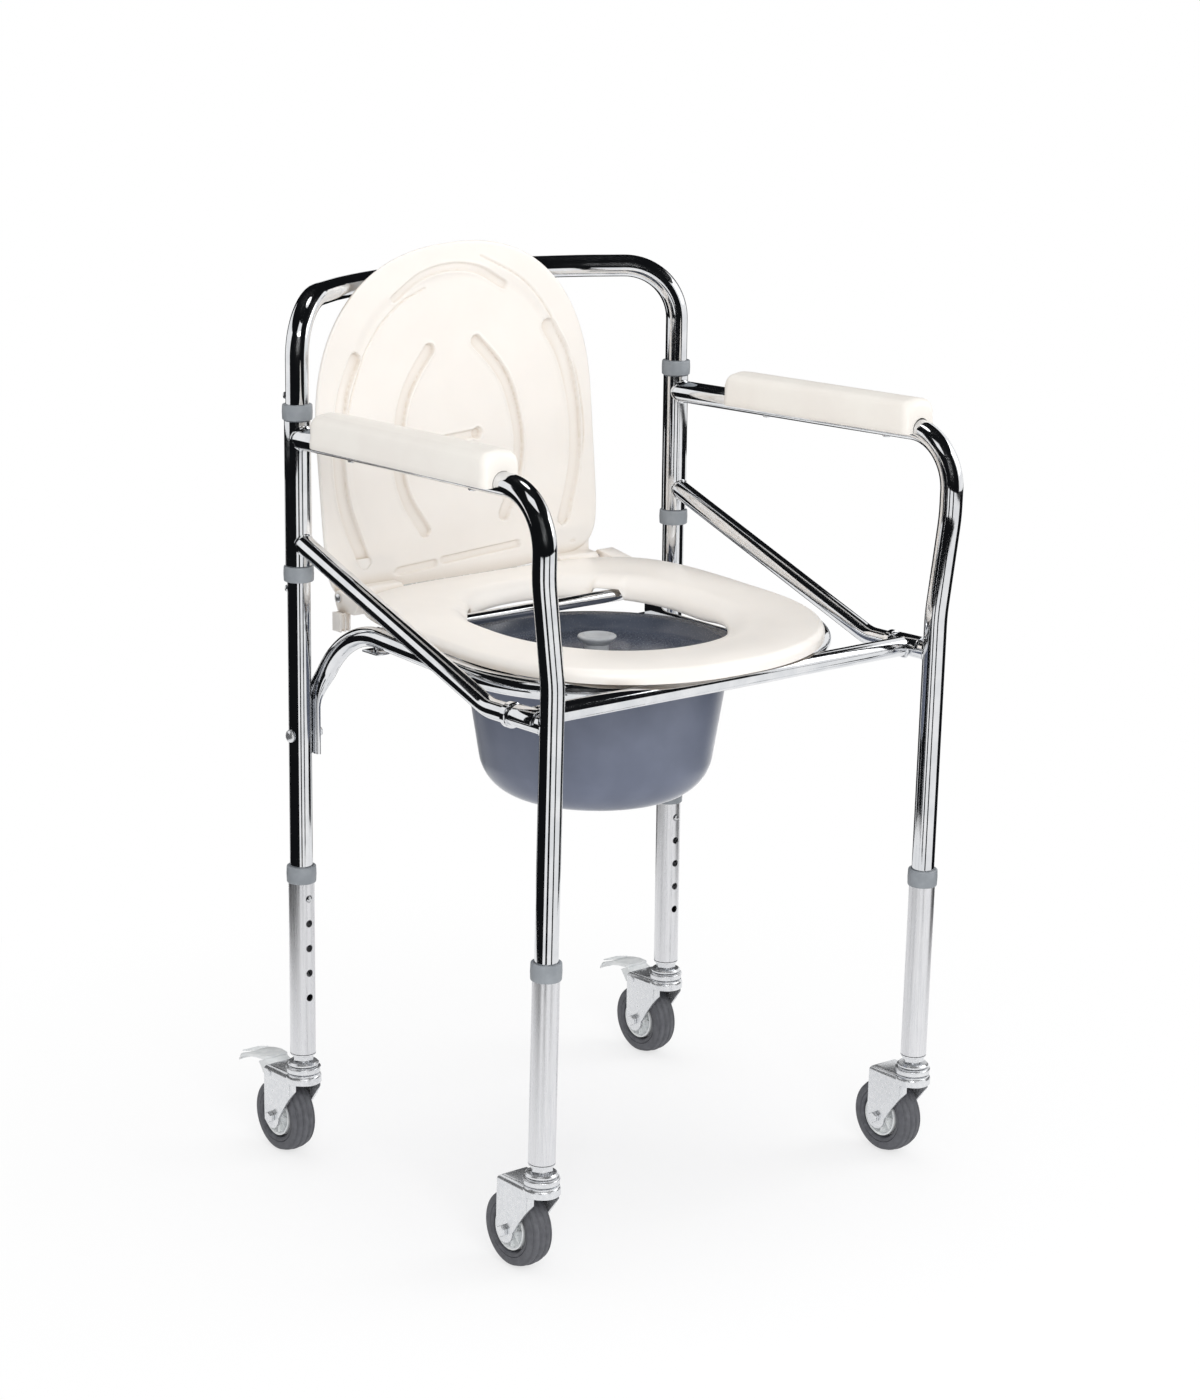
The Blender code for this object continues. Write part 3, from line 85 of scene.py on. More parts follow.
# Legs and casters
EXTENSION_BOTTOM_Z = 0.111
EXTENSION_TOP_Z = 0.3000
LEG_COLLAR_H = 0.0170
LEG_COLLAR_LAP = 0.0130
CLIP_Z = 0.272
HOLE_STEP = 0.0254
HOLE_COUNT = 5
HOLE_R = 0.0037
WHEEL_R = 0.0375
TYRE_HALF = 0.0125
RIM_R = 0.0214
HUB_HALF = 0.0142
HUB_BOSS_R = 0.0090
TRAIL = 0.0312
FORK_HALF = 0.0175
FORK_PLATE = 0.0027
FORK_TOP_Z = 0.0900
FORK_NOSE_R = 0.0181
FORK_FOLD = 0.0054
FORK_LOBE_R = 0.0120
DISH_R = 0.0175
DISH_TOP_Z = 0.0980
RACE_R = 0.0155
RACE_TOP_Z = 0.1022
NUT_FLATS = 0.0190
AXLE_R = 0.0030
AXLE_FLATS = 0.0100
PEDAL_Y, PEDAL_Z = 0.0350, 0.0825
PEDAL_HALF = 0.0160
PEDAL_ARM_HALF = 0.0138
PEDAL_REACH = 0.1010

# Seat
SEAT_SLOPE = 0.060
RAIL_HALF = 0.203
FRONT_RUN_Y = -0.1430
FRONT_RUN_Z = 0.5265
FRONT_BEND_R = 0.115
REAR_BEND_R = 0.080
PIVOT_Z = 0.4355
RAIL_END_Z = 0.4155
END_THICK = 0.0070
END_WIDTH = 0.0215
FLAT_TOP_Z = 0.498
FLAT_FULL_Z = 0.462
CROSSBAR_Z = 0.5235
HOOK_REAR_Y = -0.1475
HOOK_LENGTH = 0.0310
HOOK_WALL = 0.0020
REAR_BAR_Y = 0.118
REAR_BAR_R = 0.0064
BUCKET_Y = 0.028
BUCKET_TOP_R = 0.1315
BUCKET_FLOOR_R = 0.1080  # where the wall would meet the floor
BUCKET_FLOOR_Z = 0.3755
BUCKET_ROUND = 0.0450
RIM_OUT_R = 0.1410
RIM_TOP_Z = 0.5215
RIM_THICK = 0.0030
LID_PAN_R = 0.1190
LID_PAN_DEPTH = 0.0130
KNOB_R = 0.0190
KNOB_TOP_Z = 0.5325
RING_HALF = 0.200
RING_POWERS = (2.25, 4.6)  # squareness of its front and rear
RING_FRONT_Y = -0.186
RING_REAR_Y = 0.2030
RING_BAND = 0.0130
RING_SLOPE = 0.045
RING_CROWN = 0.0018
RING_LIP = 0.0026
RING_LIP_MORE = 0.0100  # how much deeper the lip is towards the rear
LIP_START_Y, LIP_RAMP = -0.06, 0.08  # where it begins to deepen, and over what length
NOTCH_EASE = 0.003
RING_ROLL = 0.30  # share of the ring's width that rolls down into the opening
RING_ROUND = 0.915  # share of the ring's width where its outer edge begins to round
OPEN_HALF = 0.118
OPEN_POWERS = (2.2, 2.2)
OPEN_FRONT = 0.137
OPEN_REAR = 0.117
OPEN_Y = 0.035
HINGE_Y = 0.212
HINGE_DROP = 0.0085
EAR_X = 0.165
EAR_W = 0.020
EAR_R = 0.0075
EAR_DEPTH = 0.0110
KNUCKLE_X = 0.125
KNUCKLE_W = 0.050
LID_HALF = 0.172
LID_CORNER = 9.0  # squareness of the corners at the hinge
LID_TIP = 2.35  # squareness of the free end
GROOVE_HALF = 0.165  # reach of the curve that the edge grooves follow
GROOVE_CORNER = 3.8
LID_LENGTH = 0.3350
LID_THICK = 0.0120
LID_EDGE = 0.0045
LID_OFFSET = -0.008
LID_SKEW = 3.3
LID_TOUCH_X = 0.142
LID_START = -0.0030
GROOVE_START = 0.0110
LID_REST_GAP = 0.0005

# Arm pads
PAD_REAR_Y = {-1: 0.143, 1: 0.100}
PAD_FRONT_Y = {-1: -0.137, 1: -0.156}
PAD_HALF = 0.0210
PAD_TOP = 0.0300
PAD_SKIRT = 0.0030
PAD_SCREW_INSET = 0.045
PAD_NOSE = 0.010  # length over which each end is rounded
PAD_PULL = 0.0075  # how far the skin draws in at the very end
PAD_TAPER = 0.0009
PAD_ROUND = 0.0105
PAD_CROWN = 0.0012

# Places worked out from the frame and the sizes above, and fixed matrices
post_low, post_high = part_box("pivot_collar_upper_right")
HALF = (post_low.x + post_high.x) / 2
ONTO_FRAME = Vector((0, (post_low.y + post_high.y) / 2 - POST_Y, 0))
RING_BASE_Z = FRONT_RUN_Z + BRACE_R + FIT
HINGE_Z = RING_BASE_Z + RING_BAND + RING_CROWN + RING_SLOPE * (HINGE_Y - FRONT_RUN_Y) - HINGE_DROP
CROSSBAR_Y = FRONT_RUN_Y - math.sqrt((2 * BRACE_R - 0.0008) ** 2 - (FRONT_RUN_Z - CROSSBAR_Z) ** 2)
X_AXIS = Vector((1, 0, 0))
ALONG_X = Matrix(((0, 0, 1, 0), (1, 0, 0, 0), (0, 1, 0, 0), (0, 0, 0, 1)))
MM = 0.001


# Materials


def linear(hex_colour):
    """An sRGB hex colour as the linear colour that a socket takes."""
    parts = [int(hex_colour[i:i + 2], 16) / 255 for i in (1, 3, 5)]
    return [p / 12.92 if p <= 0.04045 else ((p + 0.055) / 1.055) ** 2.4 for p in parts] + [1.0]


def add_node(tree, kind, attributes=None, values=None):
    """A node with its attributes set and its inputs given a value or another node's output."""
    made = tree.nodes.new(kind)
    for name, value in (attributes or {}).items():
        setattr(made, name, value)
    for name, value in (values or {}).items():
        if isinstance(value, bpy.types.NodeSocket):
            tree.links.new(value, made.inputs[name])
        else:
            made.inputs[name].default_value = value
    return made


def math_node(tree, operation, first, second):
    """The result socket of a sum on two sockets or numbers."""
    return add_node(tree, "ShaderNodeMath", {"operation": operation}, {0: first, 1: second}).outputs[0]


def surface(name, values):
    """A Principled material with fixed values; returns it, its tree, shader and object coordinates."""
    mat = bpy.data.materials.new(name)
    mat.use_nodes = True
    tree = mat.node_tree
    shader = tree.nodes["Principled BSDF"]
    for socket, value in values.items():
        shader.inputs[socket].default_value = value
    place = add_node(tree, "ShaderNodeTexCoord").outputs["Object"]
    return mat, tree, shader, place


def grain(tree, place, size_mm, detail=2.0):
    """Noise whose grains are about size_mm across."""
    return add_node(tree, "ShaderNodeTexNoise", {},
                    {"Vector": place, "Scale": 1 / (size_mm * MM), "Detail": detail})


def vary(tree, shader, factor, socket, low, high):
    """Spread a socket's value between low and high by a noise factor."""
    ramp = add_node(tree, "ShaderNodeMapRange", {}, {"Value": factor, "From Min": 0.3, "From Max": 0.7,
                                                     "To Min": low, "To Max": high})
    tree.links.new(ramp.outputs["Result"], shader.inputs[socket])


def mix_colours(tree, factor, dark, light):
    """The socket of a colour between two others; each is a hex colour or a socket."""
    dark, light = (linear(c) if isinstance(c, str) else c for c in (dark, light))
    return add_node(tree, "ShaderNodeMix", {"data_type": "RGBA"}, {0: factor, 6: dark, 7: light}).outputs[2]


def tint(tree, shader, factor, dark, light):
    """Mix two close colours by a noise factor, as a moulding or plating varies."""
    ramp = add_node(tree, "ShaderNodeMapRange", {}, {"Value": factor, "From Min": 0.35, "From Max": 0.65})
    mixed = mix_colours(tree, ramp.outputs["Result"], dark, light)
    tree.links.new(mixed, shader.inputs["Base Color"])
    return mixed


def relief(tree, shader, height, depth_mm, strength=1.0):
    """Bump from a height pattern of the given depth."""
    bump = add_node(tree, "ShaderNodeBump", {}, {"Height": height, "Distance": depth_mm * MM,
                                                 "Strength": strength})
    tree.links.new(bump.outputs["Normal"], shader.inputs["Normal"])


def chromed_steel():
    """Bright chromium plate on drawn tube: near-mirror, with faint polishing haze and draw marks."""
    mat, tree, shader, place = surface("chromed_steel", {"Metallic": 1.0})
    haze = grain(tree, place, 18, 3)
    tint(tree, shader, haze.outputs["Fac"], "#d9dbde", "#e6e7e9")
    vary(tree, shader, haze.outputs["Fac"], "Roughness", 0.04, 0.10)
    relief(tree, shader, grain(tree, place, 9).outputs["Fac"], 0.03, 0.25)
    return mat


def anodised_aluminium():
    """Satin anodised tube: pale silver with fine lengthwise extrusion lines."""
    mat, tree, shader, place = surface("anodised_aluminium", {"Metallic": 1.0})
    stretch = add_node(tree, "ShaderNodeMapping", {}, {"Vector": place, "Scale": (1.0, 1.0, 0.02)})
    lines = grain(tree, stretch.outputs["Vector"], 0.9, 4)
    tint(tree, shader, lines.outputs["Fac"], "#dcdde0", "#ececee")
    vary(tree, shader, lines.outputs["Fac"], "Roughness", 0.24, 0.36)
    relief(tree, shader, lines.outputs["Fac"], 0.02, 0.3)
    return mat


def bright_zinc():
    """Blue-bright zinc on pressed steel: shiny but mottled, as passivated plating is."""
    mat, tree, shader, place = surface("bright_zinc", {"Metallic": 0.82})
    mottle = grain(tree, place, 4, 4)
    tint(tree, shader, mottle.outputs["Fac"], "#d9dbde", "#e7e8ea")
    vary(tree, shader, mottle.outputs["Fac"], "Roughness", 0.20, 0.30)
    relief(tree, shader, grain(tree, place, 2.4, 3).outputs["Fac"], 0.025, 0.35)
    return mat


def spring_steel():
    """Polished spring strip and buttons."""
    mat, tree, shader, place = surface("spring_steel", {"Metallic": 1.0})
    wear = grain(tree, place, 1.2, 3)
    tint(tree, shader, wear.outputs["Fac"], "#b9bbbe", "#d6d7d9")
    vary(tree, shader, wear.outputs["Fac"], "Roughness", 0.10, 0.22)
    return mat


def moulded(name, dark, light, roughness, cloud_mm, grain_mm, grain_depth_mm):
    """A moulded polymer: slow clouds of colour under a fine spark-eroded grain."""
    mat, tree, shader, place = surface(name, {"IOR": 1.49})
    tint(tree, shader, grain(tree, place, cloud_mm, 3).outputs["Fac"], dark, light)
    fine = grain(tree, place, grain_mm, 2)
    vary(tree, shader, fine.outputs["Fac"], "Roughness", roughness - 0.05, roughness + 0.05)
    relief(tree, shader, fine.outputs["Fac"], grain_depth_mm, 0.5)
    return mat


def cream_polypropylene():
    """Seat ring and lid: warm off-white, softly glossy, a little translucent, with painted shade that turns
    it browner in its channels and wherever other surfaces are close.
    """
    mat, tree, shader, place = surface("cream_polypropylene", {
        "IOR": 1.49, "Subsurface Weight": 0.14, "Subsurface Scale": 0.006,
        "Subsurface Radius": (1.0, 0.9, 0.8)})
    clouds = tint(tree, shader, grain(tree, place, 60, 3).outputs["Fac"], "#f1ece6", "#f4efe9")
    # Painted shade: an ambient occlusion mask mixes in a browner cream where other surfaces are close, as
    # in the lid's channels and the ring's recesses.
    painted_shade_nearness = add_node(tree, "ShaderNodeAmbientOcclusion", {"samples": 16}, {"Distance": 0.013})
    depth = add_node(tree, "ShaderNodeMapRange", {},
                     {"Value": painted_shade_nearness.outputs["AO"], "From Min": 0.50, "From Max": 0.98})
    tree.links.new(mix_colours(tree, depth.outputs["Result"], "#ddd2c5", clouds),
                   shader.inputs["Base Color"])
    fine = grain(tree, place, 1.6, 2)
    vary(tree, shader, fine.outputs["Fac"], "Roughness", 0.29, 0.39)
    relief(tree, shader, fine.outputs["Fac"], 0.05, 0.5)
    return mat


def slate_polypropylene():
    """Bucket: blue-grey and smooth, paler where its thin wall is seen at a slant."""
    mat = moulded("slate_polypropylene", "#61687a", "#697082", 0.34, 40, 1.4, 0.03)
    shader = mat.node_tree.nodes["Principled BSDF"]
    shader.inputs["Sheen Weight"].default_value = 1.0
    shader.inputs["Sheen Roughness"].default_value = 0.20
    return mat


def grey_rubber():
    """Tyres: non-marking grey rubber, matt, with dust worn into its fine grain."""
    mat, tree, shader, place = surface("grey_rubber", {"IOR": 1.5})
    dust = grain(tree, place, 6, 4)
    tint(tree, shader, dust.outputs["Fac"], "#505156", "#606166")
    vary(tree, shader, dust.outputs["Fac"], "Roughness", 0.52, 0.72)
    relief(tree, shader, grain(tree, place, 0.9, 3).outputs["Fac"], 0.10, 0.6)
    return mat


CHROME = chromed_steel()
ALUMINIUM = anodised_aluminium()
ZINC = bright_zinc()
SPRING = spring_steel()
CREAM = cream_polypropylene()
SLATE = slate_polypropylene()
RUBBER = grey_rubber()
# Arm pads: self-skinning polyurethane, duller and a little greyer than the seat
PAD_SKIN = moulded("cream_polyurethane_skin", "#efeae3", "#f2eee7", 0.44, 40, 1.1, 0.06)
# Collars on the tubes: mid grey nylon, satin
NYLON = moulded("grey_nylon", "#84898e", "#90959a", 0.40, 12, 0.8, 0.05)
# Bucket lid: the bucket's plastic in a darker blue-grey, glossier on its flat pan
DARK = moulded("dark_polypropylene", "#454b58", "#4e5461", 0.24, 40, 1.4, 0.03)
# Knob of the bucket lid: light grey, satin
KNOB = moulded("light_knob_plastic", "#a6a9ad", "#b2b5b8", 0.35, 10, 0.8, 0.03)
# Wheel discs and brake pedals: pale grey nylon, satin
PALE = moulded("pale_nylon", "#dcdfe0", "#e8eaea", 0.36, 8, 0.7, 0.05)


# Mesh helpers


def loft(rings, closed=False):
    """Skin rings with the same number of points; closed joins the last ring to the first."""
    bm = bmesh.new()
    loops = [[bm.verts.new(p) for p in ring] for ring in rings]
    pairs = list(zip(loops, loops[1:]))
    if closed:
        pairs.append((loops[-1], loops[0]))
    count = len(loops[0])
    for low, high in pairs:
        for i in range(count):
            j = (i + 1) % count
            bm.faces.new((low[i], low[j], high[j], high[i]))
    if not closed:
        bm.faces.new(loops[0])
        bm.faces.new(loops[-1])
    bmesh.ops.recalc_face_normals(bm, faces=bm.faces)
    return bm


def moved(bm, matrix):
    bmesh.ops.transform(bm, matrix=matrix, verts=bm.verts)
    return bm


def joined(*parts):
    """Closed shells put together as one mesh."""
    whole = bmesh.new()
    for bm in parts:
        mesh = bpy.data.meshes.new("part")
        bm.to_mesh(mesh)
        bm.free()
        whole.from_mesh(mesh)
        bpy.data.meshes.remove(mesh)
    return whole


def turned(profile, sides=48, closed=False, hexes=()):
    """Turn (radius, height) points about Z; the points listed in hexes are made six-sided."""
    rings = []
    for k, (radius, height) in enumerate(profile):
        ring = []
        for i in range(sides):
            a = 2 * math.pi * i / sides
            r = radius / math.cos((a % (math.pi / 3)) - math.pi / 6) if k in hexes else radius
            ring.append(Vector((r * math.cos(a), r * math.sin(a), height)))
        rings.append(ring)
    return loft(rings, closed)


def prism(outline, low, high, matrix=None):
    bm = loft([[Vector((u, v, h)) for u, v in outline] for h in (low, high)])
    return moved(bm, matrix) if matrix else bm


def arc(centre, radius, start, end, steps):
    """Points along an arc; angles in degrees."""
    angles = [math.radians(start + (end - start) * k / steps) for k in range(steps + 1)]
    return [(centre[0] + radius * math.cos(a), centre[1] + radius * math.sin(a)) for a in angles]


def eased(profile, ease, steps=4):
    """Round each corner of an open or closed run of (u, v) points by about ease."""
    out = []
    count = len(profile)
    for i, corner in enumerate(profile):
        corner = Vector(corner)
        before, after = Vector(profile[i - 1]), Vector(profile[(i + 1) % count])
        reach = min(ease, (before - corner).length * 0.45, (after - corner).length * 0.45)
        start = corner + (before - corner).normalized() * reach
        end = corner + (after - corner).normalized() * reach
        for k in range(steps + 1):
            t = k / steps
            p = start * (1 - t) ** 2 + corner * 2 * t * (1 - t) + end * t * t
            out.append((p.x, p.y))
    return out


def bevelled(bm, width, segments=2, angle=40.0):
    """Round the sharp edges of a mesh, as pressing or moulding does."""
    sharp = [e for e in bm.edges if len(e.link_faces) == 2 and e.calc_face_angle(0) > math.radians(angle)]
    bmesh.ops.bevel(bm, geom=sharp, offset=width, segments=segments, affect="EDGES", profile=0.5,
                    clamp_overlap=True)
    return bm


def rounded(points, radii, step=4.0):
    """A path through corner points, each inner corner bent to its radius."""
    points = [Vector(p) for p in points]
    path = [points[0]]
    for corner, radius, before, after in zip(points[1:-1], radii, points, points[2:]):
        back, on = (before - corner).normalized(), (after - corner).normalized()
        opening = back.angle(on)
        reach = radius / math.tan(opening / 2)
        centre = corner + (back + on).normalized() * radius / math.sin(opening / 2)
        start, end = corner + back * reach - centre, corner + on * reach - centre
        turn = math.pi - opening
        steps = max(3, round(turn / math.radians(step)))
        for k in range(steps + 1):
            a, b = math.sin((1 - k / steps) * turn), math.sin(k / steps * turn)
            path.append(centre + (start * a + end * b) / math.sin(turn))
    path.append(points[-1])
    return path


def linked(name, data):
    """A new object in the scene."""
    obj = bpy.data.objects.new(name, data)
    bpy.context.scene.collection.objects.link(obj)
    return obj


def scratch(bm):
    """A throw-away object that holds a mesh while modifiers work on it."""
    mesh = bpy.data.meshes.new("scratch")
    bm.to_mesh(mesh)
    bm.free()
    return linked("scratch", mesh)


def mirrored(profile):
    """The other half of a (radius, height) profile, so that the whole is even about height 0."""
    return [(r, -h) for r, h in reversed(profile)]


def laid(place, axis, turn=math.pi / 2):
    """A place with the Z axis turned about the given axis, a quarter turn unless another is given."""
    return Matrix.Translation(place) @ Matrix.Rotation(turn, 4, axis)


def baked(obj):
    """The object's evaluated mesh, with the object itself removed."""
    depsgraph = bpy.context.evaluated_depsgraph_get()
    mesh = bpy.data.meshes.new_from_object(obj.evaluated_get(depsgraph))
    bm = bmesh.new()
    bm.from_mesh(mesh)
    bpy.data.meshes.remove(mesh)
    bpy.data.objects.remove(obj)
    return bm


def drilled(bm, *tools):
    """Exact Boolean cuts."""
    obj = scratch(bm)
    cutters = [scratch(tool) for tool in tools]
    for cutter in cutters:
        step = obj.modifiers.new("drill", "BOOLEAN")
        step.operation, step.solver, step.object = "DIFFERENCE", "EXACT", cutter
    result = baked(obj)
    for cutter in cutters:
        bpy.data.objects.remove(cutter)
    return result


def new_group(name, inputs):
    """A Geometry Nodes tree with the given (name, type) inputs; returns it and its input sockets."""
    tree = bpy.data.node_groups.new(name, "GeometryNodeTree")
    for label, kind in [("Geometry", "Geometry"), *inputs, ("Material", "Material")]:
        tree.interface.new_socket(label, in_out="INPUT", socket_type="NodeSocket" + kind)
    tree.interface.new_socket("Geometry", in_out="OUTPUT", socket_type="NodeSocketGeometry")
    return tree, add_node(tree, "NodeGroupInput").outputs


def finish_group(tree, given, shape):
    """Make the shape real, give it the material and send it out of the group."""
    solid = add_node(tree, "GeometryNodeRealizeInstances", {}, {"Geometry": shape})
    dressed = add_node(tree, "GeometryNodeSetMaterial", {},
                       {"Geometry": solid.outputs["Geometry"], "Material": given["Material"]})
    add_node(tree, "NodeGroupOutput", {}, {"Geometry": dressed.outputs["Geometry"]})
    return tree


def tube_tree():
    """A round tube along a path, with its radius and sides as inputs."""
    tree, given = new_group("bent_tube", [("Radius", "Float"), ("Sides", "Int")])
    path = add_node(tree, "GeometryNodeMeshToCurve", {}, {"Mesh": given["Geometry"]})
    ring = add_node(tree, "GeometryNodeCurvePrimitiveCircle", {},
                    {"Resolution": given["Sides"], "Radius": given["Radius"]})
    skin = add_node(tree, "GeometryNodeCurveToMesh", {},
                    {"Curve": path.outputs["Curve"], "Profile Curve": ring.outputs["Curve"],
                     "Fill Caps": True})
    return finish_group(tree, given, skin.outputs["Mesh"])


def around_tree():
    """Copies of one item set evenly round the Z axis."""
    tree, given = new_group("set_around", [("Count", "Int")])
    spots = add_node(tree, "GeometryNodePoints", {}, {"Count": given["Count"]})
    index = add_node(tree, "GeometryNodeInputIndex").outputs["Index"]
    turn = math_node(tree, "DIVIDE", index, given["Count"])
    spin = add_node(tree, "ShaderNodeCombineXYZ", {}, {"Z": math_node(tree, "MULTIPLY", turn, 2 * math.pi)})
    copies = add_node(tree, "GeometryNodeInstanceOnPoints", {},
                      {"Points": spots.outputs[0], "Instance": given["Geometry"],
                       "Rotation": spin.outputs[0]})
    return finish_group(tree, given, copies.outputs["Instances"])


def grown(bm, tree, settings):
    """Run a Geometry Nodes tree with the given inputs on a mesh and keep the result as a mesh."""
    obj = scratch(bm)
    modifier = obj.modifiers.new("grow", "NODES")
    modifier.node_group = tree
    for item in tree.interface.items_tree:
        if item.in_out == "INPUT" and item.name in settings:
            modifier[item.identifier] = settings[item.name]
    return baked(obj)


TUBE_TREE = tube_tree()
AROUND_TREE = around_tree()


def tube(path, radius, material=CHROME, sides=40, loop=False):
    bm = bmesh.new()
    spots = [bm.verts.new(p) for p in path]
    for a, b in zip(spots, spots[1:] + (spots[:1] if loop else [])):
        bm.edges.new((a, b))
    return grown(bm, TUBE_TREE, {"Radius": radius, "Sides": sides, "Material": material})


def around(bm, count, material):
    return grown(bm, AROUND_TREE, {"Count": count, "Material": material})


def piece(name, bm, material, body, nodes=(), sharp=35.0):
    """Turn a mesh into a finished piece on its body, in place of the CAD nodes named."""
    bmesh.ops.translate(bm, verts=bm.verts, vec=ONTO_FRAME)
    mesh = bpy.data.meshes.new(name)
    for face in bm.faces:
        face.material_index = 0
    bm.to_mesh(mesh)
    bm.free()
    mesh.materials.clear()
    mesh.materials.append(material)
    mesh.shade_smooth()
    mesh.set_sharp_from_angle(angle=math.radians(sharp))
    obj = linked(name, mesh)
    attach(obj, body)
    if nodes:
        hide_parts(*nodes)
    return obj


# Places on the frame


def side_name(side):
    return "left" if side < 0 else "right"


def leg_axis(z):
    return LEG_Y - LEG_LEAN * (z - COLLAR_Z)


def rail_z(y):
    return FRONT_RUN_Z + SEAT_SLOPE * (y - FRONT_RUN_Y)


def bow_y(x):
    return BAR_APEX_Y - (BAR_APEX_Y - POST_Y) * (x / HALF) ** 2


def leg_frame(side, front):
    if not front:
        return Matrix.Translation((side * HALF, POST_Y, 0))
    return Matrix.Translation((side * HALF, leg_axis(0), 0)) @ Matrix.Rotation(math.atan(LEG_LEAN), 4, "X")


def arm_ends(side):
    rear = Vector((side * HALF, POST_Y, ARM_REAR_Z))
    front = Vector((side * (HALF + ARM_FLARE), leg_axis(ARM_FRONT_Z), ARM_FRONT_Z))
    return rear, front


# Frame


def back_frame():
    """Posts and bowed top bar, bent from one tube."""
    half = rounded([(-HALF, POST_Y, TUBE_END_Z), (-HALF, POST_Y, BAR_Z),
                    (-BAR_BOW_START, bow_y(BAR_BOW_START), BAR_Z)],
                   [BAR_BEND_R])
    steps = 14
    for k in range(1, steps + 1):
        x = BAR_BOW_START * (1 - k / steps)
        half.append(Vector((-x, bow_y(x), BAR_Z)))
    path = half + [Vector((-p.x, p.y, p.z)) for p in reversed(half[:-1])]
    piece("back_tube", tube(path, TUBE_R), CHROME, "frame", ["back_frame"])


def collar_profile(inner, base, top):
    ease = 0.0013
    corners = [(COLLAR_R - 0.0003, base), (COLLAR_R, (base + top) / 2), (COLLAR_R - 0.0003, top)]
    outer = [(inner, base), (corners[0][0] - ease, base)]
    outer += arc((corners[0][0] - ease, base + ease), ease, -90, 0, 5)
    outer += [corners[1]] + arc((corners[2][0] - ease, top - ease), ease, 0, 90, 5)
    return outer + [(inner, top)]


def pivot_collars():
    low = SLEEVE_BOTTOM_Z - FIT - PIVOT_COLLAR_H
    high = SLEEVE_TOP_Z + FIT
    rings, nodes = [], []
    for side in (-1, 1):
        for level, base in (("lower", low), ("upper", high)):
            ring = turned(collar_profile(TUBE_R + FIT, base, base + PIVOT_COLLAR_H), closed=True)
            rings.append(moved(ring, leg_frame(side, False)))
            nodes.append(f"pivot_collar_{level}_{side_name(side)}")
    piece("sleeve_collars", joined(*rings), NYLON, "frame", nodes)


def weld(centre, along, radius, axis_dir, big, bead=0.0013):
    """A bead where a tube of one radius runs along a direction into a bigger round tube."""
    along, axis_dir = Vector(along).normalized(), Vector(axis_dir).normalized()
    across = along.cross(axis_dir).normalized()
    up = across.cross(along).normalized()
    spots = []
    steps = 36
    for k in range(steps):
        a = 2 * math.pi * k / steps
        p = across * radius * math.cos(a) + up * radius * math.sin(a)
        # distance back along the tube to the big tube's surface
        flat = along - axis_dir * along.dot(axis_dir)
        off = p - axis_dir * p.dot(axis_dir)
        b = 2 * off.dot(flat)
        c = off.dot(off) - big * big
        t = (-b + math.sqrt(max(0, b * b - 4 * flat.dot(flat) * c))) / (2 * flat.dot(flat))
        spots.append(Vector(centre) + p + along * t)
    return tube(spots, bead, CHROME, 10, loop=True)


def side_frame(side):
    rear, front = arm_ends(side)
    into = 0.004
    start = rear + (front - rear).normalized() * into
    path = rounded([start, front, (side * (HALF + ARM_FLARE), leg_axis(FLARE_TOP_Z), FLARE_TOP_Z),
                    (side * HALF, leg_axis(FLARE_FOOT_Z), FLARE_FOOT_Z),
                    (side * HALF, leg_axis(TUBE_END_Z), TUBE_END_Z)],
                   [ARM_BEND_R, FLARE_BEND_R, FLARE_BEND_R], 3.0)
    slope = (BRACE_TOP_Z - STUB_Z) / (POST_Y - STUB_REAR_Y)
    high = Vector((side * HALF, POST_Y - into, BRACE_TOP_Z - slope * into))
    knee = Vector((side * HALF, STUB_REAR_Y, STUB_Z))
    end = Vector((side * HALF, leg_axis(STUB_Z) + into, STUB_Z))
    brace = tube(rounded([high, knee, end], [BRACE_BEND_R], 3.0), BRACE_R)
    bore = TUBE_R + FIT
    ease = 0.0006
    sleeve = [(bore, SLEEVE_BOTTOM_Z), (OUTER_R - ease, SLEEVE_BOTTOM_Z), (OUTER_R, SLEEVE_BOTTOM_Z + ease)]
    sleeve += [(OUTER_R, SLEEVE_TOP_Z - ease), (OUTER_R - ease, SLEEVE_TOP_Z), (bore, SLEEVE_TOP_Z)]
    sleeve = moved(turned(sleeve, closed=True), leg_frame(side, False))
    half = STOP_RING_W / 2
    ring = [(BRACE_R - 0.001, -half), (STOP_RING_R - 0.0012, -half)]
    ring += arc((STOP_RING_R - 0.0016, 0), half * 0.72, -80, 80, 8)
    ring = [(min(r, STOP_RING_R), h) for r, h in ring]
    ring += [(STOP_RING_R - 0.0012, half), (BRACE_R - 0.001, half)]
    lying = laid((side * HALF, STOP_RING_Y, STUB_Z), "X")
    ring = moved(turned(ring, closed=True), lying)
    welds = [
        weld(rear, front - rear, TUBE_R, (0, 0, 1), OUTER_R),
        weld((side * HALF, POST_Y, BRACE_TOP_Z), knee - high, BRACE_R, (0, 0, 1), OUTER_R),
        weld((side * HALF, leg_axis(STUB_Z), STUB_Z), knee - end, BRACE_R, (0, -LEG_LEAN, 1), TUBE_R),
    ]
    name = side_name(side)
    whole = joined(tube(path, TUBE_R), brace, sleeve, ring, *welds)
    piece(f"side_tube_{name}", whole, CHROME, f"side_{name}", [f"side_frame_{name}"])


def smooth_step(t):
    t = min(1.0, max(0.0, t))
    return t * t * (3 - 2 * t)


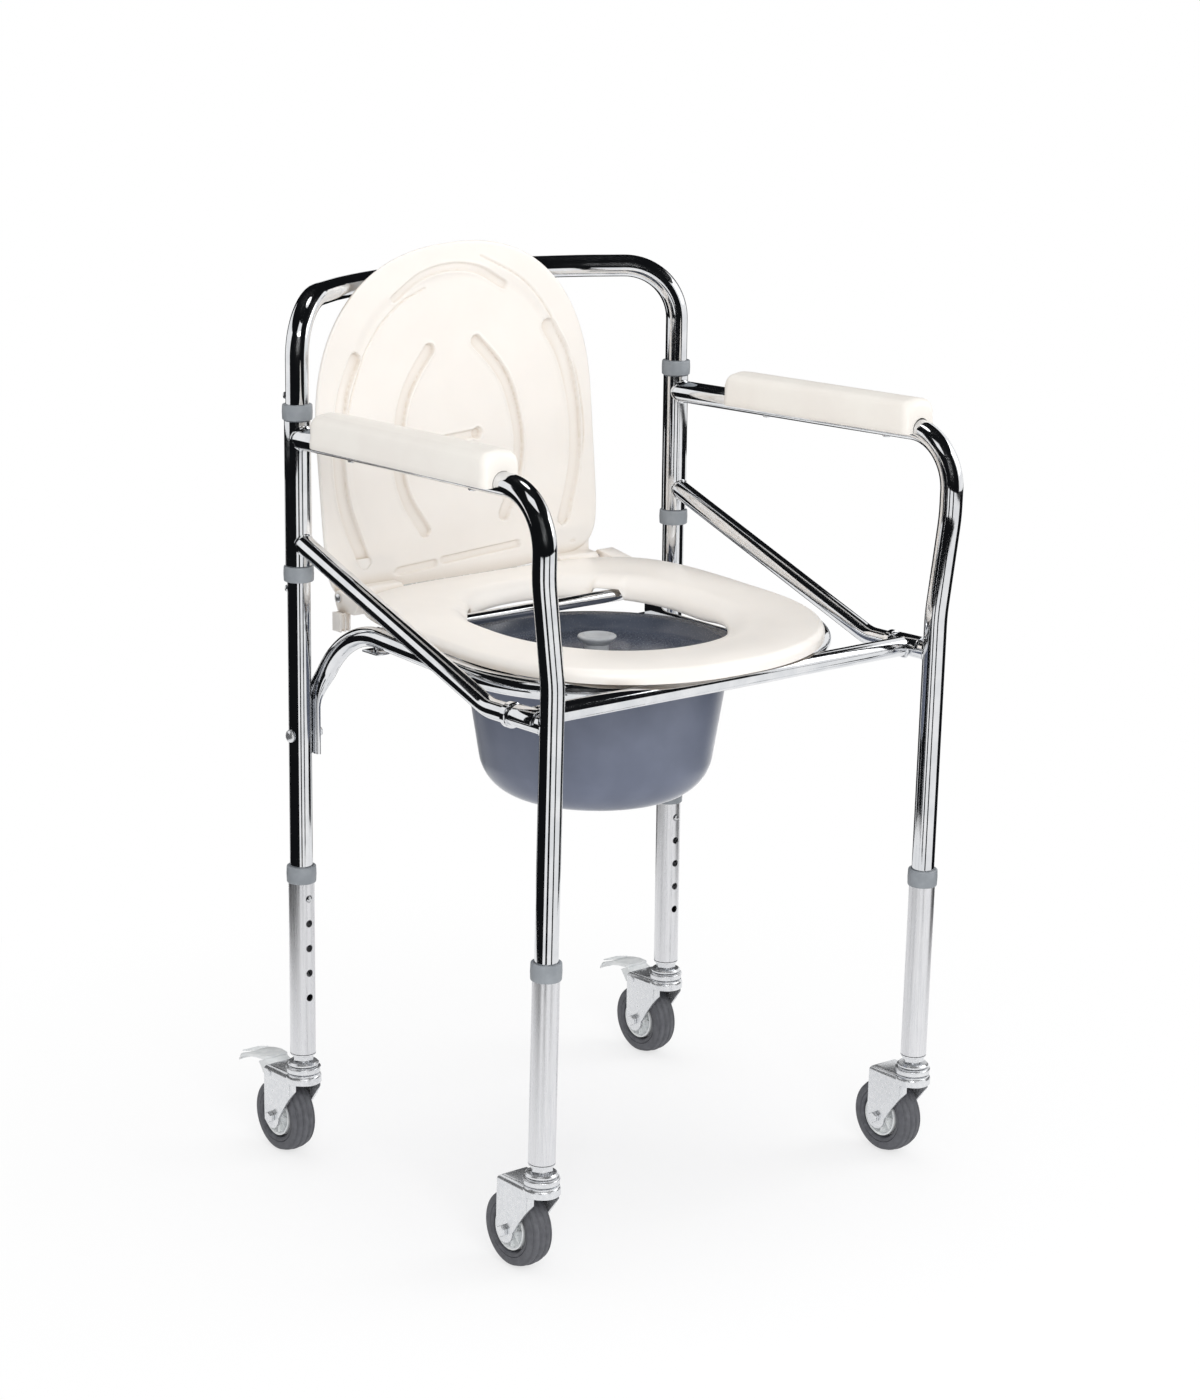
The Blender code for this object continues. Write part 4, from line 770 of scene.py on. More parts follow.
def pad_ring(station, length):
    """One section of the arm pad: (across, up) points of its outer skin, then of its slot."""
    end = min(1.0, min(station, length - station) / PAD_NOSE)
    pull = PAD_PULL * (1 - math.sqrt(max(0.0, 1 - (1 - end) ** 2)))
    half, top = PAD_HALF - pull * 0.75, PAD_TOP - pull
    flank = half - PAD_TAPER
    flat = flank - PAD_ROUND
    outer = [(half - 0.0006, -PAD_SKIRT), (half, -PAD_SKIRT + 0.0012), (half, 0.004), (flank, 0.0062)]
    outer += [(flank, top - PAD_ROUND)]
    steps = 12
    for k in range(1, steps + 1):
        a = math.pi / 2 * k / steps
        outer.append((flat + PAD_ROUND * math.cos(a),
                      top - PAD_ROUND - PAD_CROWN + PAD_ROUND * math.sin(a)))
    middle = [(flat * t, top - PAD_CROWN * t * t) for t in (0.6, 0.3, 0.0, -0.3, -0.6)]
    outer += middle + [(-u, v) for u, v in reversed(outer)]
    slot = TUBE_R + FIT
    return outer + [(-slot, -PAD_SKIRT)] + arc((0, 0), slot, 180, 0, 16) + [(slot, -PAD_SKIRT)]


def arm_pad(side):
    rear, front = arm_ends(side)
    along = (front - rear).normalized()
    up = Vector((0, 0, 1))
    up = (up - along * up.dot(along)).normalized()
    across = along.cross(up)
    low, high = (rear + along * ((y - rear.y) / along.y) for y in (PAD_REAR_Y[side], PAD_FRONT_Y[side]))
    length = (high - low).length
    nose = [PAD_NOSE * (1 - math.cos(math.pi / 2 * k / 8)) for k in range(9)]
    stations = nose + [length * k / 30 for k in range(2, 29)] + [length - d for d in reversed(nose)]
    rings = []
    for station in stations:
        rings.append([low + along * station + across * u + up * v for u, v in pad_ring(station, length)])
    name = side_name(side)
    piece(f"arm_pad_skin_{name}", loft(rings), PAD_SKIN, f"side_{name}",
          [f"arm_pad_{name}"], 50.0)
    screws = []
    for y in (PAD_REAR_Y[side] - PAD_SCREW_INSET, PAD_FRONT_Y[side] + PAD_SCREW_INSET):
        place = rear + along * ((y - rear.y) / along.y)
        base = -TUBE_R - 0.0014
        profile = [(0.0004, base + 0.0009), (0.0014, base + 0.0009), (0.0016, base),
                   (0.0034, base + 0.0004)]
        profile += [(0.0043, base + 0.0014), (0.0044, base + 0.0023), (0.0022, base + 0.0023),
                    (0.0022, base + 0.010), (0.0004, base + 0.012)]
        screws.append(moved(turned(profile, 24), Matrix.Translation(place)))
    piece(f"pad_screws_{name}", joined(*screws), ZINC, f"side_{name}",
          [f"pad_screw_rear_{name}", f"pad_screw_front_{name}"])


# Legs and casters


def clip_turn(front):
    return 0.0 if front else math.pi


def extension(side, front):
    leg = leg_frame(side, front)
    label = f"{'front' if front else 'rear'}_{side_name(side)}"
    parent = f"extension_{label}"
    bore, ease = TUBE_R + FIT, 0.0005
    low, high = EXTENSION_BOTTOM_Z, EXTENSION_TOP_Z
    wall = [(bore, low), (OUTER_R - ease, low), (OUTER_R, low + ease)]
    wall += [(OUTER_R, high - ease), (OUTER_R - ease, high), (bore, high)]
    turn = Matrix.Rotation(clip_turn(front), 4, "Z")
    drills = []
    for k in range(HOLE_COUNT):
        out = laid((0, 0, CLIP_Z - k * HOLE_STEP), "X", -math.pi / 2)
        drills.append(moved(turned([(HOLE_R, 0.004), (HOLE_R, 0.02)], 28), turn @ out))
    shell = drilled(turned(wall, 64, closed=True), *drills)
    piece(f"leg_tube_{label}", moved(shell, leg), ALUMINIUM, parent, [f"leg_extension_{label}"])
    base = high - LEG_COLLAR_LAP
    top = base + LEG_COLLAR_H
    lip, wide = high + FIT, OUTER_R + FIT
    outer = collar_profile(bore, base, top)
    profile = [(bore, lip), (wide, lip), (wide, base)] + outer[1:]
    piece(f"leg_band_{label}", moved(turned(profile, closed=True), leg), NYLON, parent,
          [f"leg_collar_{label}"])
    stem(leg, label, parent)
    fork(leg, label, not front)
    wheel(leg, label)
    if not front:
        pedal(leg, label)


def stem(leg, label, parent):
    base = EXTENSION_BOTTOM_Z - FIT
    nut_low = RACE_TOP_Z + 0.0012
    neck, flat = 0.0060, NUT_FLATS / 2
    shoulder = DISH_TOP_Z + FIT
    plug = TUBE_R - 0.0006
    profile = [(neck, shoulder), (RACE_R - 0.0012, shoulder), (RACE_R, shoulder + 0.0009),
               (RACE_R, shoulder + 0.0022)]
    profile += [(RACE_R - 0.0016, RACE_TOP_Z - 0.0003), (neck + 0.0030, RACE_TOP_Z),
                (neck + 0.0012, RACE_TOP_Z)]
    profile += [(neck + 0.0012, nut_low), (flat * 0.93, nut_low), (flat, nut_low + 0.0007),
                (flat, base - 0.0023)]
    profile += [(flat * 0.93, base - 0.0016), (OUTER_R * 0.98, base - 0.0014), (OUTER_R, base - 0.0008),
                (OUTER_R, base)]
    profile += [(plug, base), (plug, base + 0.020), (plug - 0.002, base + 0.022)]
    piece(f"stem_{label}", moved(turned(profile, 60, hexes=(8, 9, 10, 11)), leg), ZINC, parent,
          [f"caster_stem_{label}"])


def fork_below():
    """Side view of what is cut away below the fork: lip, waist, lobe round the axle and rear edge."""
    top, back = FORK_TOP_Z, TRAIL + FORK_LOBE_R
    lip = [(-0.0280, top - 0.0105), (-0.0140, top - 0.0108), (-0.0085, 0.0745)]
    waist = [(-0.0020, 0.0672), (0.0045, 0.0590), (0.0120, 0.0490), (0.0165, 0.0420)]
    lobe = arc((TRAIL, WHEEL_R), FORK_LOBE_R, 175, 350, 18)
    rear = [(back, 0.0480), (back, 0.0740)] + arc((back - 0.0060, top - 0.0060), 0.0060, 0, 90, 8)
    above = [(back - 0.006, top + 0.01), (back + 0.01, top + 0.01), (back + 0.01, 0.0), (-0.0280, 0.0)]
    return lip + waist + lobe + rear + above


def fork_shell():
    """Pressed plate folded over the wheel: straight sides, a rounded fold and a round nose."""
    top, fold, rear = FORK_TOP_Z, FORK_FOLD, TRAIL + FORK_LOBE_R + 0.002
    over = arc((FORK_HALF - fold, top - fold), fold, 0, 90, 8)
    over += arc((fold - FORK_HALF, top - fold), fold, 90, 180, 8)
    bar = prism([(FORK_HALF, 0.02)] + over + [(-FORK_HALF, 0.02)], -rear, FORK_NOSE_R,
                Matrix.Rotation(math.pi / 2, 4, "X"))
    wide = FORK_NOSE_R + 0.010
    corners = [(-wide, 0.0), (-wide, -wide), (wide, -wide), (wide, 0.0)]
    corners += arc((0, 0), FORK_NOSE_R - 0.0012, 0, -180, 28)
    inside = FORK_HALF - FORK_PLATE
    hollow = [(-inside, -0.05), (inside, -0.05), (inside, 0.10), (-inside, 0.10)]
    shell = drilled(bar, prism(fork_below(), -0.03, 0.03, ALONG_X), prism(corners, 0.0, 0.12),
                    prism(hollow, -0.01, top - FORK_PLATE))
    shell = bevelled(shell, 0.0005, 2, 60)
    low = top - 0.0098
    nose = [(0.0045, top - FORK_PLATE), (FORK_NOSE_R - 0.0026, top - FORK_PLATE)]
    nose += [(FORK_NOSE_R - 0.0026, low + 0.0006), (FORK_NOSE_R - 0.0020, low)]
    nose += [(FORK_NOSE_R - 0.0006, low), (FORK_NOSE_R, low + 0.0006)]
    nose += arc((FORK_NOSE_R - 0.0042, top - 0.0042), 0.0042, 0, 90, 8) + [(0.0045, top)]
    return shell, turned(nose, 72, closed=True)


def fork(leg, label, braked):
    dish = [(0.0045, FORK_TOP_Z - 0.001), (0.0125, FORK_TOP_Z - 0.001), (0.0150, FORK_TOP_Z + 0.0008)]
    dish += [(DISH_R - 0.0006, FORK_TOP_Z + 0.0016)]
    dish += arc((DISH_R - 0.0012, DISH_TOP_Z - 0.0022), 0.0012, -60, 70, 6)
    dish += [(DISH_R - 0.0024, DISH_TOP_Z - 0.0003), (0.0110, DISH_TOP_Z), (0.0045, DISH_TOP_Z)]
    parts = [*fork_shell(), turned(dish, 56)]
    head, face, flat = 0.0045, FORK_HALF + FIT, AXLE_FLATS / 2
    bolt = [(flat * 0.5, -face - head), (flat * 0.92, -face - head), (flat, -face - head + 0.0007),
            (flat, -face)]
    bolt += [(AXLE_R, -face), (AXLE_R, face), (flat, face), (flat, face + head),
             (flat * 0.9, face + head + 0.0006)]
    bolt += [(AXLE_R, face + head + 0.0006), (AXLE_R, face + head + 0.0016),
             (AXLE_R * 0.7, face + head + 0.0023)]
    washer = [(AXLE_R, 0), (AXLE_R + 0.0042, 0), (AXLE_R + 0.0046, 0.0002), (AXLE_R + 0.0046, FIT)]
    turn = laid((0, TRAIL, WHEEL_R), "Y")
    axle = moved(turned(bolt, 36, hexes=(1, 2, 3, 6, 7, 8)), turn)
    if braked:
        pin = [(0.0012, -FORK_HALF - 0.0012), (0.0030, -FORK_HALF - 0.0010), (0.0032, -FORK_HALF),
               (0.0020, -FORK_HALF)]
        pin = pin + mirrored(pin)
        cross = laid((0, PEDAL_Y, PEDAL_Z), "Y")
        parts.append(moved(turned(pin, 24), cross))
    parts.append(moved(turned([(r, h + FORK_HALF) for r, h in washer], 32), turn))
    piece(f"fork_{label}", moved(joined(*parts), leg), ZINC, f"caster_{label}",
          [f"caster_fork_{label}"])
    piece(f"axle_{label}", moved(axle, leg), ZINC, f"caster_{label}", [f"caster_axle_{label}"])


def tread_profile():
    """Outer half-section of the tyre, (radius, across): bead, side with a moulded line, ribbed tread."""
    w = TYRE_HALF
    side = [(RIM_R + 0.0002, w * 0.30), (RIM_R + 0.0016, w * 0.36), (RIM_R + 0.0018, w * 0.88)]
    side += [(RIM_R + 0.0026, w * 0.945), (RIM_R + 0.0052, w * 0.97), (RIM_R + 0.0057, w * 0.905)]
    side += [(RIM_R + 0.0063, w * 0.975), (WHEEL_R - 0.0060, w), (WHEEL_R - 0.0040, w * 0.96)]
    side += [(WHEEL_R - 0.0024, w * 0.88)]
    tread = []
    ribs = 3
    crown_half = w * 0.78
    for k in range(25):
        x = crown_half * (1 - k / 24)
        groove = 0.5 + 0.5 * math.cos(math.pi * ribs * x / crown_half)
        crown = 0.0016 * (x / crown_half) ** 2
        tread.append((WHEEL_R - 0.0002 - crown - 0.0016 * (1 - groove) ** 3, x))
    return side + tread


def wheel(leg, label):
    turn = leg @ Matrix.Translation((0, TRAIL, WHEEL_R)) @ Matrix.Rotation(math.pi / 2, 4, "Y")
    half = tread_profile()
    tyre = turned(half + mirrored(half[:-1]), 96, closed=True)
    piece(f"tyre_{label}", moved(tyre, turn), RUBBER, f"wheel_{label}",
          [f"caster_tyre_{label}"], 45.0)
    bore = AXLE_R + 0.0004
    rim = RIM_R - 0.0002
    web = 0.0060
    section = [(bore, HUB_HALF), (HUB_BOSS_R - 0.0020, HUB_HALF), (HUB_BOSS_R - 0.0008, HUB_HALF - 0.0010)]
    section += [(HUB_BOSS_R, web + 0.0012), (HUB_BOSS_R + 0.0015, web), (rim - 0.0050, web),
                (rim - 0.0032, web + 0.0012)]
    section += [(rim - 0.0028, TYRE_HALF - 0.0014), (rim - 0.0020, TYRE_HALF - 0.0008)]
    section += [(rim - 0.0008, TYRE_HALF - 0.0009), (rim - 0.0008, 0.0048), (rim, 0.0040)]
    disc = turned(section + mirrored(section), 72, closed=True)
    rib = [(0.0080, -0.0007), (rim - 0.0030, -0.0007), (rim - 0.0030, 0.0007), (0.0080, 0.0007)]
    rib = prism(rib, -TYRE_HALF + 0.0032, TYRE_HALF - 0.0032)
    spokes = around(bevelled(rib, 0.0004, 1), 8, PALE)
    piece(f"disc_{label}", moved(joined(disc, spokes), turn), PALE, f"wheel_{label}",
          [f"caster_hub_{label}"])


def pedal(leg, label):
    y, z = PEDAL_Y, PEDAL_Z
    arm = arc((y, z), 0.0046, 90, 235, 12) + [(y + 0.0050, z - 0.0068), (y + 0.0095, z - 0.0076)]
    arm += [(y + 0.0140, z - 0.0064), (y + 0.0230, z + 0.0050), (y + 0.0130, z + 0.0095)]
    arm = bevelled(prism(arm, -PEDAL_ARM_HALF, PEDAL_ARM_HALF, ALONG_X), 0.0006)
    tip = PEDAL_REACH
    spine = [(y + 0.0125, z + 0.0125, PEDAL_HALF - 0.002), (y + 0.024, z + 0.0122, PEDAL_HALF - 0.0006),
             (y + 0.035, z + 0.0105, PEDAL_HALF), (y + 0.045, z + 0.0080, PEDAL_HALF - 0.0002),
             (y + 0.053, z + 0.0050, PEDAL_HALF - 0.0010), (tip - 0.006, z - 0.0010, PEDAL_HALF - 0.0040),
             (tip - 0.002, z - 0.0026, PEDAL_HALF - 0.0075), (tip, z - 0.0035, PEDAL_HALF - 0.0110)]
    rings = []
    for reach, top, half in spine:
        edge = [(-half, top - 0.0034), (-half - 0.0002, top - 0.0018), (-half + 0.0004, top - 0.0006),
                (-half + 0.0022, top)]
        edge += [(-half * 0.4, top - 0.0009)]
        section = edge + [(-u, v) for u, v in reversed(edge)]
        section += [(half - 0.0022, top - 0.0030), (-half + 0.0022, top - 0.0030)]
        rings.append([Vector((u, reach, v)) for u, v in section])
    plate = loft(rings)
    grips = []
    for k in range(4):
        at_y = y + 0.040 + 0.0052 * k
        drop = 0.0100 - 0.0030 * k / 2
        low, end = z + drop, at_y + 0.0016
        outline = [(at_y, low), (end, low - 0.0004), (end, low + 0.0008), (at_y, low + 0.0012)]
        grips.append(bevelled(prism(outline, -PEDAL_HALF * 0.62, PEDAL_HALF * 0.62, ALONG_X), 0.0003, 1))
    piece(f"pedal_{label}", moved(joined(arm, plate, *grips), leg), PALE, f"brake_pedal_{label}",
          [f"brake_pedal_{label}"])


# Seat frame


def seat_tube():
    """U-shaped tube with flattened pivot ends."""
    foot_x = HALF - TUBE_R - FIT - END_THICK / 2
    bend = Vector((-RAIL_HALF, POST_Y, rail_z(POST_Y)))
    foot = Vector((-foot_x, POST_Y, RAIL_END_Z))
    front = (-RAIL_HALF, FRONT_RUN_Y, rail_z(FRONT_RUN_Y))
    path = rounded([foot, bend, front, (0, FRONT_RUN_Y, FRONT_RUN_Z)], [REAR_BEND_R, FRONT_BEND_R], 3.0)
    down = (bend - foot).normalized()
    straight = path[1].z - RAIL_END_Z
    levels = [RAIL_END_Z + 0.0006] + [RAIL_END_Z + straight * k / 20 for k in range(1, 20)]
    path = [path[0]] + [foot + down * ((z - foot.z) / down.z) for z in levels] + path[1:]
    rings = []
    sides = 40
    across = X_AXIS
    for i, point in enumerate(path):
        along = (path[min(i + 1, len(path) - 1)] - path[max(i - 1, 0)]).normalized()
        across = (across - along * across.dot(along)).normalized()
        t = 1.0
        if point.y > POST_Y - 0.02 and point.z < FLAT_TOP_Z:
            t = smooth_step((point.z - FLAT_FULL_Z) / (FLAT_TOP_Z - FLAT_FULL_Z))
        wide = END_THICK / 2 + (BRACE_R - END_THICK / 2) * t
        deep = END_WIDTH / 2 + (BRACE_R - END_WIDTH / 2) * t
        ring = []
        for k in range(sides):
            a = 2 * math.pi * (k + 0.5) / sides
            # a pressed end is flat-sided, the tube is round
            power = 1 - 0.62 * (1 - t)
            c, s = math.cos(a), math.sin(a)
            u = math.copysign(abs(c) ** power, c) * wide
            v = s * deep
            ring.append(point + across * u + along.cross(across) * v)
        for p in ring:
            p.x += (-foot_x - point.x) * (1 - t)
        rings.append(ring)
    return loft(rings + [[Vector((-p.x, p.y, p.z)) for p in ring] for ring in reversed(rings[:-1])])


def hook(side):
    """Half-round saddle over the side frame's stub."""
    inner, outer = BRACE_R + 0.0004, BRACE_R + 0.0004 + HOOK_WALL
    outline = arc((0, 0), outer, 0, 180, 24) + arc((0, 0), inner, 180, 0, 24)
    place = laid((side * HALF, HOOK_REAR_Y, STUB_Z), "X")
    return bevelled(prism(outline, 0, HOOK_LENGTH, place), 0.0006, 2, 60)


def guide(side):
    """Angle strip that carries the bucket's rim."""
    web_in = RIM_OUT_R + 0.0008
    lip_top = RIM_TOP_Z - RIM_THICK - FIT
    thick = 0.0015
    low = lip_top - thick
    front, rear = FRONT_RUN_Y - 0.004, REAR_BAR_Y + 0.005
    front_top, rear_top = FRONT_RUN_Z - BRACE_R + 0.002, rail_z(REAR_BAR_Y) - REAR_BAR_R + 0.0025
    outline = [(front, low), (rear, low), (rear, rear_top), (rear - 0.012, rear_top),
               (rear - 0.030, lip_top + 0.006)]
    outline += [(front + 0.044, lip_top + 0.004), (front + 0.026, front_top), (front, front_top)]
    web = bevelled(prism(eased(outline, 0.004), web_in, web_in + thick, ALONG_X), 0.0003, 1, 60)
    inward, outward = web_in - 0.0085, web_in + thick
    flange = [(inward, front + 0.006), (outward, front + 0.006), (outward, rear), (inward, rear)]
    lip = prism(flange, low, lip_top)
    strip = joined(web, bevelled(lip, 0.0003, 1))
    if side < 0:
        strip = moved(strip, Matrix.Scale(-1, 4, (1, 0, 0)))
        bmesh.ops.reverse_faces(strip, faces=strip.faces)
    return strip


def cross_tube(half, y, z, radius):
    """A straight tube from side to side."""
    return tube([(-half, y, z), (0, y, z), (half, y, z)], radius)


def strap(side, rear_z):
    """Flat clip with its stud under the seat tube, below the rear bar."""
    x, low, half, y0, y1 = side * RAIL_HALF, rear_z - BRACE_R - 0.0062, 0.0080, 0.100, 0.126
    outline = [(x - half, y0), (x + half, y0), (x + half, y1), (x - half, y1)]
    plate = bevelled(prism(eased(outline, 0.003), low, low + 0.0018), 0.0005, 2)
    stud = turned([(0.0004, low), (0.0026, low), (0.0026, low + 0.0075), (0.0004, low + 0.0075)], 20)
    return [plate, moved(stud, Matrix.Translation((x, (y0 + y1) / 2, 0)))]


def seat_frame():
    end = HALF - BRACE_R - 0.0004 - HOOK_WALL / 2
    rear_z = rail_z(REAR_BAR_Y)
    parts = [seat_tube(), cross_tube(end, CROSSBAR_Y, CROSSBAR_Z, BRACE_R)]
    parts += [cross_tube(RAIL_HALF, REAR_BAR_Y, rear_z, REAR_BAR_R), hook(-1), hook(1)]
    for side in (-1, 1):
        inward = (-side, 0, 0)
        bar_end = (side * RAIL_HALF, REAR_BAR_Y, rear_z)
        parts.append(weld(bar_end, inward, REAR_BAR_R, (0, 1, SEAT_SLOPE), BRACE_R))
        parts.append(weld((side * HALF, CROSSBAR_Y, STUB_Z), inward, BRACE_R, (0, 1, 0), BRACE_R + 0.0024))
    parts += strap(-1, rear_z) + strap(1, rear_z)
    screws = []
    for x in (-0.150, 0.128):
        tail = [(0.0004, -0.0055), (0.0016, -0.0050), (0.0020, -0.0040), (0.0020, 0.004), (0.0004, 0.004)]
        screws.append(moved(turned(tail, 20), Matrix.Translation((x, FRONT_RUN_Y, FRONT_RUN_Z - BRACE_R))))
    piece("seat_tubes", joined(*parts), CHROME, "seat", ["seat_frame"])
    piece("bucket_guides", joined(guide(-1), guide(1)), CHROME, "seat")
    piece("ring_screw_tails", joined(*screws), ZINC, "seat")


def pivot_bolts():
    bolts, nodes = [], []
    for side in (-1, 1):
        head_in, nut_out = TUBE_R + FIT, TUBE_R + 2 * FIT + END_THICK
        flat, bolt_r, head_r = 0.00475, 0.0030, 0.0062
        profile = [(0.0015, -0.0255), (bolt_r, -0.0245), (bolt_r, -nut_out - 0.0050),
                   (flat * 0.9, -nut_out - 0.0050)]
        profile += [(flat, -nut_out - 0.0044), (flat, -nut_out - 0.0006), (flat * 0.92, -nut_out),
                    (bolt_r, -nut_out)]
        profile += [(bolt_r, head_in), (head_r, head_in), (head_r, head_in + 0.0006)]
        for a in (0.35, 0.7, 1.05, 1.35):
            profile.append((head_r * math.cos(a), head_in + 0.0006 + 0.0030 * math.sin(a)))
        bolt = turned(profile, 36, hexes=(3, 4, 5, 6))
        place = laid((side * HALF, POST_Y, PIVOT_Z), "Y", side * math.pi / 2)
        bolts.append(moved(bolt, place))
        nodes.append(f"pivot_bolt_{side_name(side)}")
    piece("pivot_bolt_pair", joined(*bolts), ZINC, "frame", nodes)


# Bucket


def bucket():
    floor, rim_top = BUCKET_FLOOR_Z, RIM_TOP_Z
    rim_low, wall = rim_top - RIM_THICK, 0.0020
    lean = math.atan2(BUCKET_TOP_R - BUCKET_FLOOR_R, rim_low - floor)
    turn = (BUCKET_FLOOR_R - BUCKET_ROUND * (1 - math.sin(lean)) / math.cos(lean), floor + BUCKET_ROUND)
    lean = math.degrees(lean)
    foot = turn[0] - wall
    profile = [(0.002, floor + 0.0040), (foot - 0.006, floor + 0.0040), (foot - 0.003, floor + 0.0010),
               (foot, floor)]
    profile += arc(turn, BUCKET_ROUND, -84, -lean, 24)
    profile += [(BUCKET_TOP_R - 0.0026, rim_low - 0.012), (BUCKET_TOP_R - 0.0006, rim_low - 0.0008),
                (BUCKET_TOP_R + 0.001, rim_low)]
    profile += [(RIM_OUT_R - 0.0006, rim_low)]
    profile += arc((RIM_OUT_R - 0.0015, rim_low + 0.0015), 0.0015, -60, 80, 6)
    profile += [(RIM_OUT_R - 0.003, rim_top), (BUCKET_TOP_R - wall, rim_top),
                (BUCKET_TOP_R - 0.003 - wall, rim_low - 0.012)]
    profile += arc(turn, BUCKET_ROUND - wall, -lean, -70, 16)
    profile += [(foot - 0.004, floor + 0.0062), (0.002, floor + 0.0062)]
    pail = moved(turned(profile, 128), Matrix.Translation((0, BUCKET_Y, 0)))
    piece("pail", pail, SLATE, "bucket", ["bucket"], 45.0)


def bucket_lid():
    base = RIM_TOP_Z + FIT
    pan = base - LID_PAN_DEPTH
    outer = BUCKET_TOP_R - 0.0032
    rim = RIM_OUT_R - 0.003
    lid = [(0.002, pan), (LID_PAN_R + 0.002, pan), (outer, base - 0.003), (outer, base), (rim, base)]
    lid += arc((rim, base + 0.0011), 0.0011, -80, 80, 6)
    lid += [(rim - 0.003, base + 0.0024), (outer + 0.001, base + 0.0022)]
    lid += [(outer - 0.002, base + 0.0012), (LID_PAN_R + 0.0015, pan + 0.0036),
            (LID_PAN_R - 0.0015, pan + 0.0022)]
    lid += [(LID_PAN_R * 0.80, pan + 0.0022), (LID_PAN_R * 0.78, pan + 0.0030),
            (LID_PAN_R * 0.40, pan + 0.0032), (0.002, pan + 0.0032)]
    cover = moved(turned(lid, 128), Matrix.Translation((0, BUCKET_Y, 0)))
    piece("bucket_cover", cover, DARK, "bucket_lid", ["bucket_lid"], 40.0)
    top = KNOB_TOP_Z
    knob = [(0.002, pan + 0.0032), (KNOB_R * 0.66, pan + 0.0032), (KNOB_R * 0.60, pan + 0.0075),
            (KNOB_R * 0.66, top - 0.0095)]
    knob += [(KNOB_R * 0.92, top - 0.0055)] + arc((KNOB_R - 0.0016, top - 0.0026), 0.0016, -30, 80, 6)
    knob += [(KNOB_R * 0.72, top - 0.0004), (KNOB_R * 0.66, top - 0.0016), (0.002, top - 0.0018)]
    piece("bucket_knob", moved(turned(knob, 64), Matrix.Translation((0, BUCKET_Y, 0))), KNOB, "bucket_lid")


# Seat ring, lid and hinge


def spread(count):
    """Even angles round an outline."""
    return [2 * math.pi * k / count for k in range(count)]


def oval(count, half, front, rear, powers, middle_y=0.0):
    """A closed outline whose front and rear halves are superellipses of the given squareness."""
    points = []
    for a in spread(count):
        c, s = math.cos(a), math.sin(a)
        long, power = (front, powers[0]) if s < 0 else (rear, powers[1])
        x = math.copysign(abs(c) ** (2 / power), c) * half
        points.append((x, middle_y + math.copysign(abs(s) ** (2 / power), s) * long))
    return points


def ring_section():
    """Section points: (share from opening to edge, share of the band's height, extra, share of the lip)."""
    section = [(1.0, 0.0, 0.0, 0.0), (1.0, 0.30, 0.0, 0.0)]
    for k in range(1, 9):
        a = math.pi / 2 * k / 8
        section.append((RING_ROUND + 0.085 * math.cos(a), 0.30 + 0.70 * math.sin(a), 0.0, 0.0))
    for k in range(1, 12):
        t = k / 12
        crown = RING_CROWN * math.sin(math.pi * t ** 0.8) - 0.0004 * t
        section.append((RING_ROUND - (RING_ROUND - RING_ROLL) * t, 1.0, crown, 0.0))
    for k in range(0, 17):
        a = math.pi / 2 * 0.96 * k / 16
        height = math.cos(a)
        section.append((RING_ROLL * (1 - math.sin(a)), height, -0.0004 * height, 1 - height))
    section += [(0.012, 0.0, 0.0, 1.0), (0.045, 0.0, 0.0, 1.0), (0.055, 0.0, 0.0, 0.6),
                (0.10, 0.55, -0.0018, 0.0)]
    section += [(0.35, 0.80, -0.0030, 0.0), (0.85, 1.0, -0.0045, 0.0), (0.955, 0.60, -0.0018, 0.0)]
    return section + [(0.968, 0.04, 0.0, 0.0), (0.978, 0.0, 0.0, 0.0)]


def lip_depth(y):
    """How far the lip round the opening hangs: deeper to the rear, with a notch for the rear bar."""
    notch = smooth_step((abs(y - REAR_BAR_Y) - REAR_BAR_R - NOTCH_EASE) / NOTCH_EASE)
    return RING_LIP + RING_LIP_MORE * smooth_step((y - LIP_START_Y) / LIP_RAMP) * notch


def block(x0, x1, y0, y1, low, high, ease):
    """A block with its edges rounded."""
    return bevelled(prism([(x0, y0), (x1, y0), (x1, y1), (x0, y1)], low, high), ease, 2)


def rear_foot(side):
    """Ribbed foot under the hinge ear at the ring's rear corner."""
    low, high, front, rear = 0.5275, 0.5460, 0.1985, 0.2115
    middle, half, rib, inset = side * 0.1770, 0.0055, 0.0022, 0.0005
    parts = [block(middle - half, middle + half, front + inset, rear - inset, low + 0.0025, high, 0.0008)]
    for k in range(3):
        x = middle - 0.0062 + 0.0051 * k
        parts.append(block(x, x + rib, front - 0.0006, rear, low, high, 0.0005))
    return parts


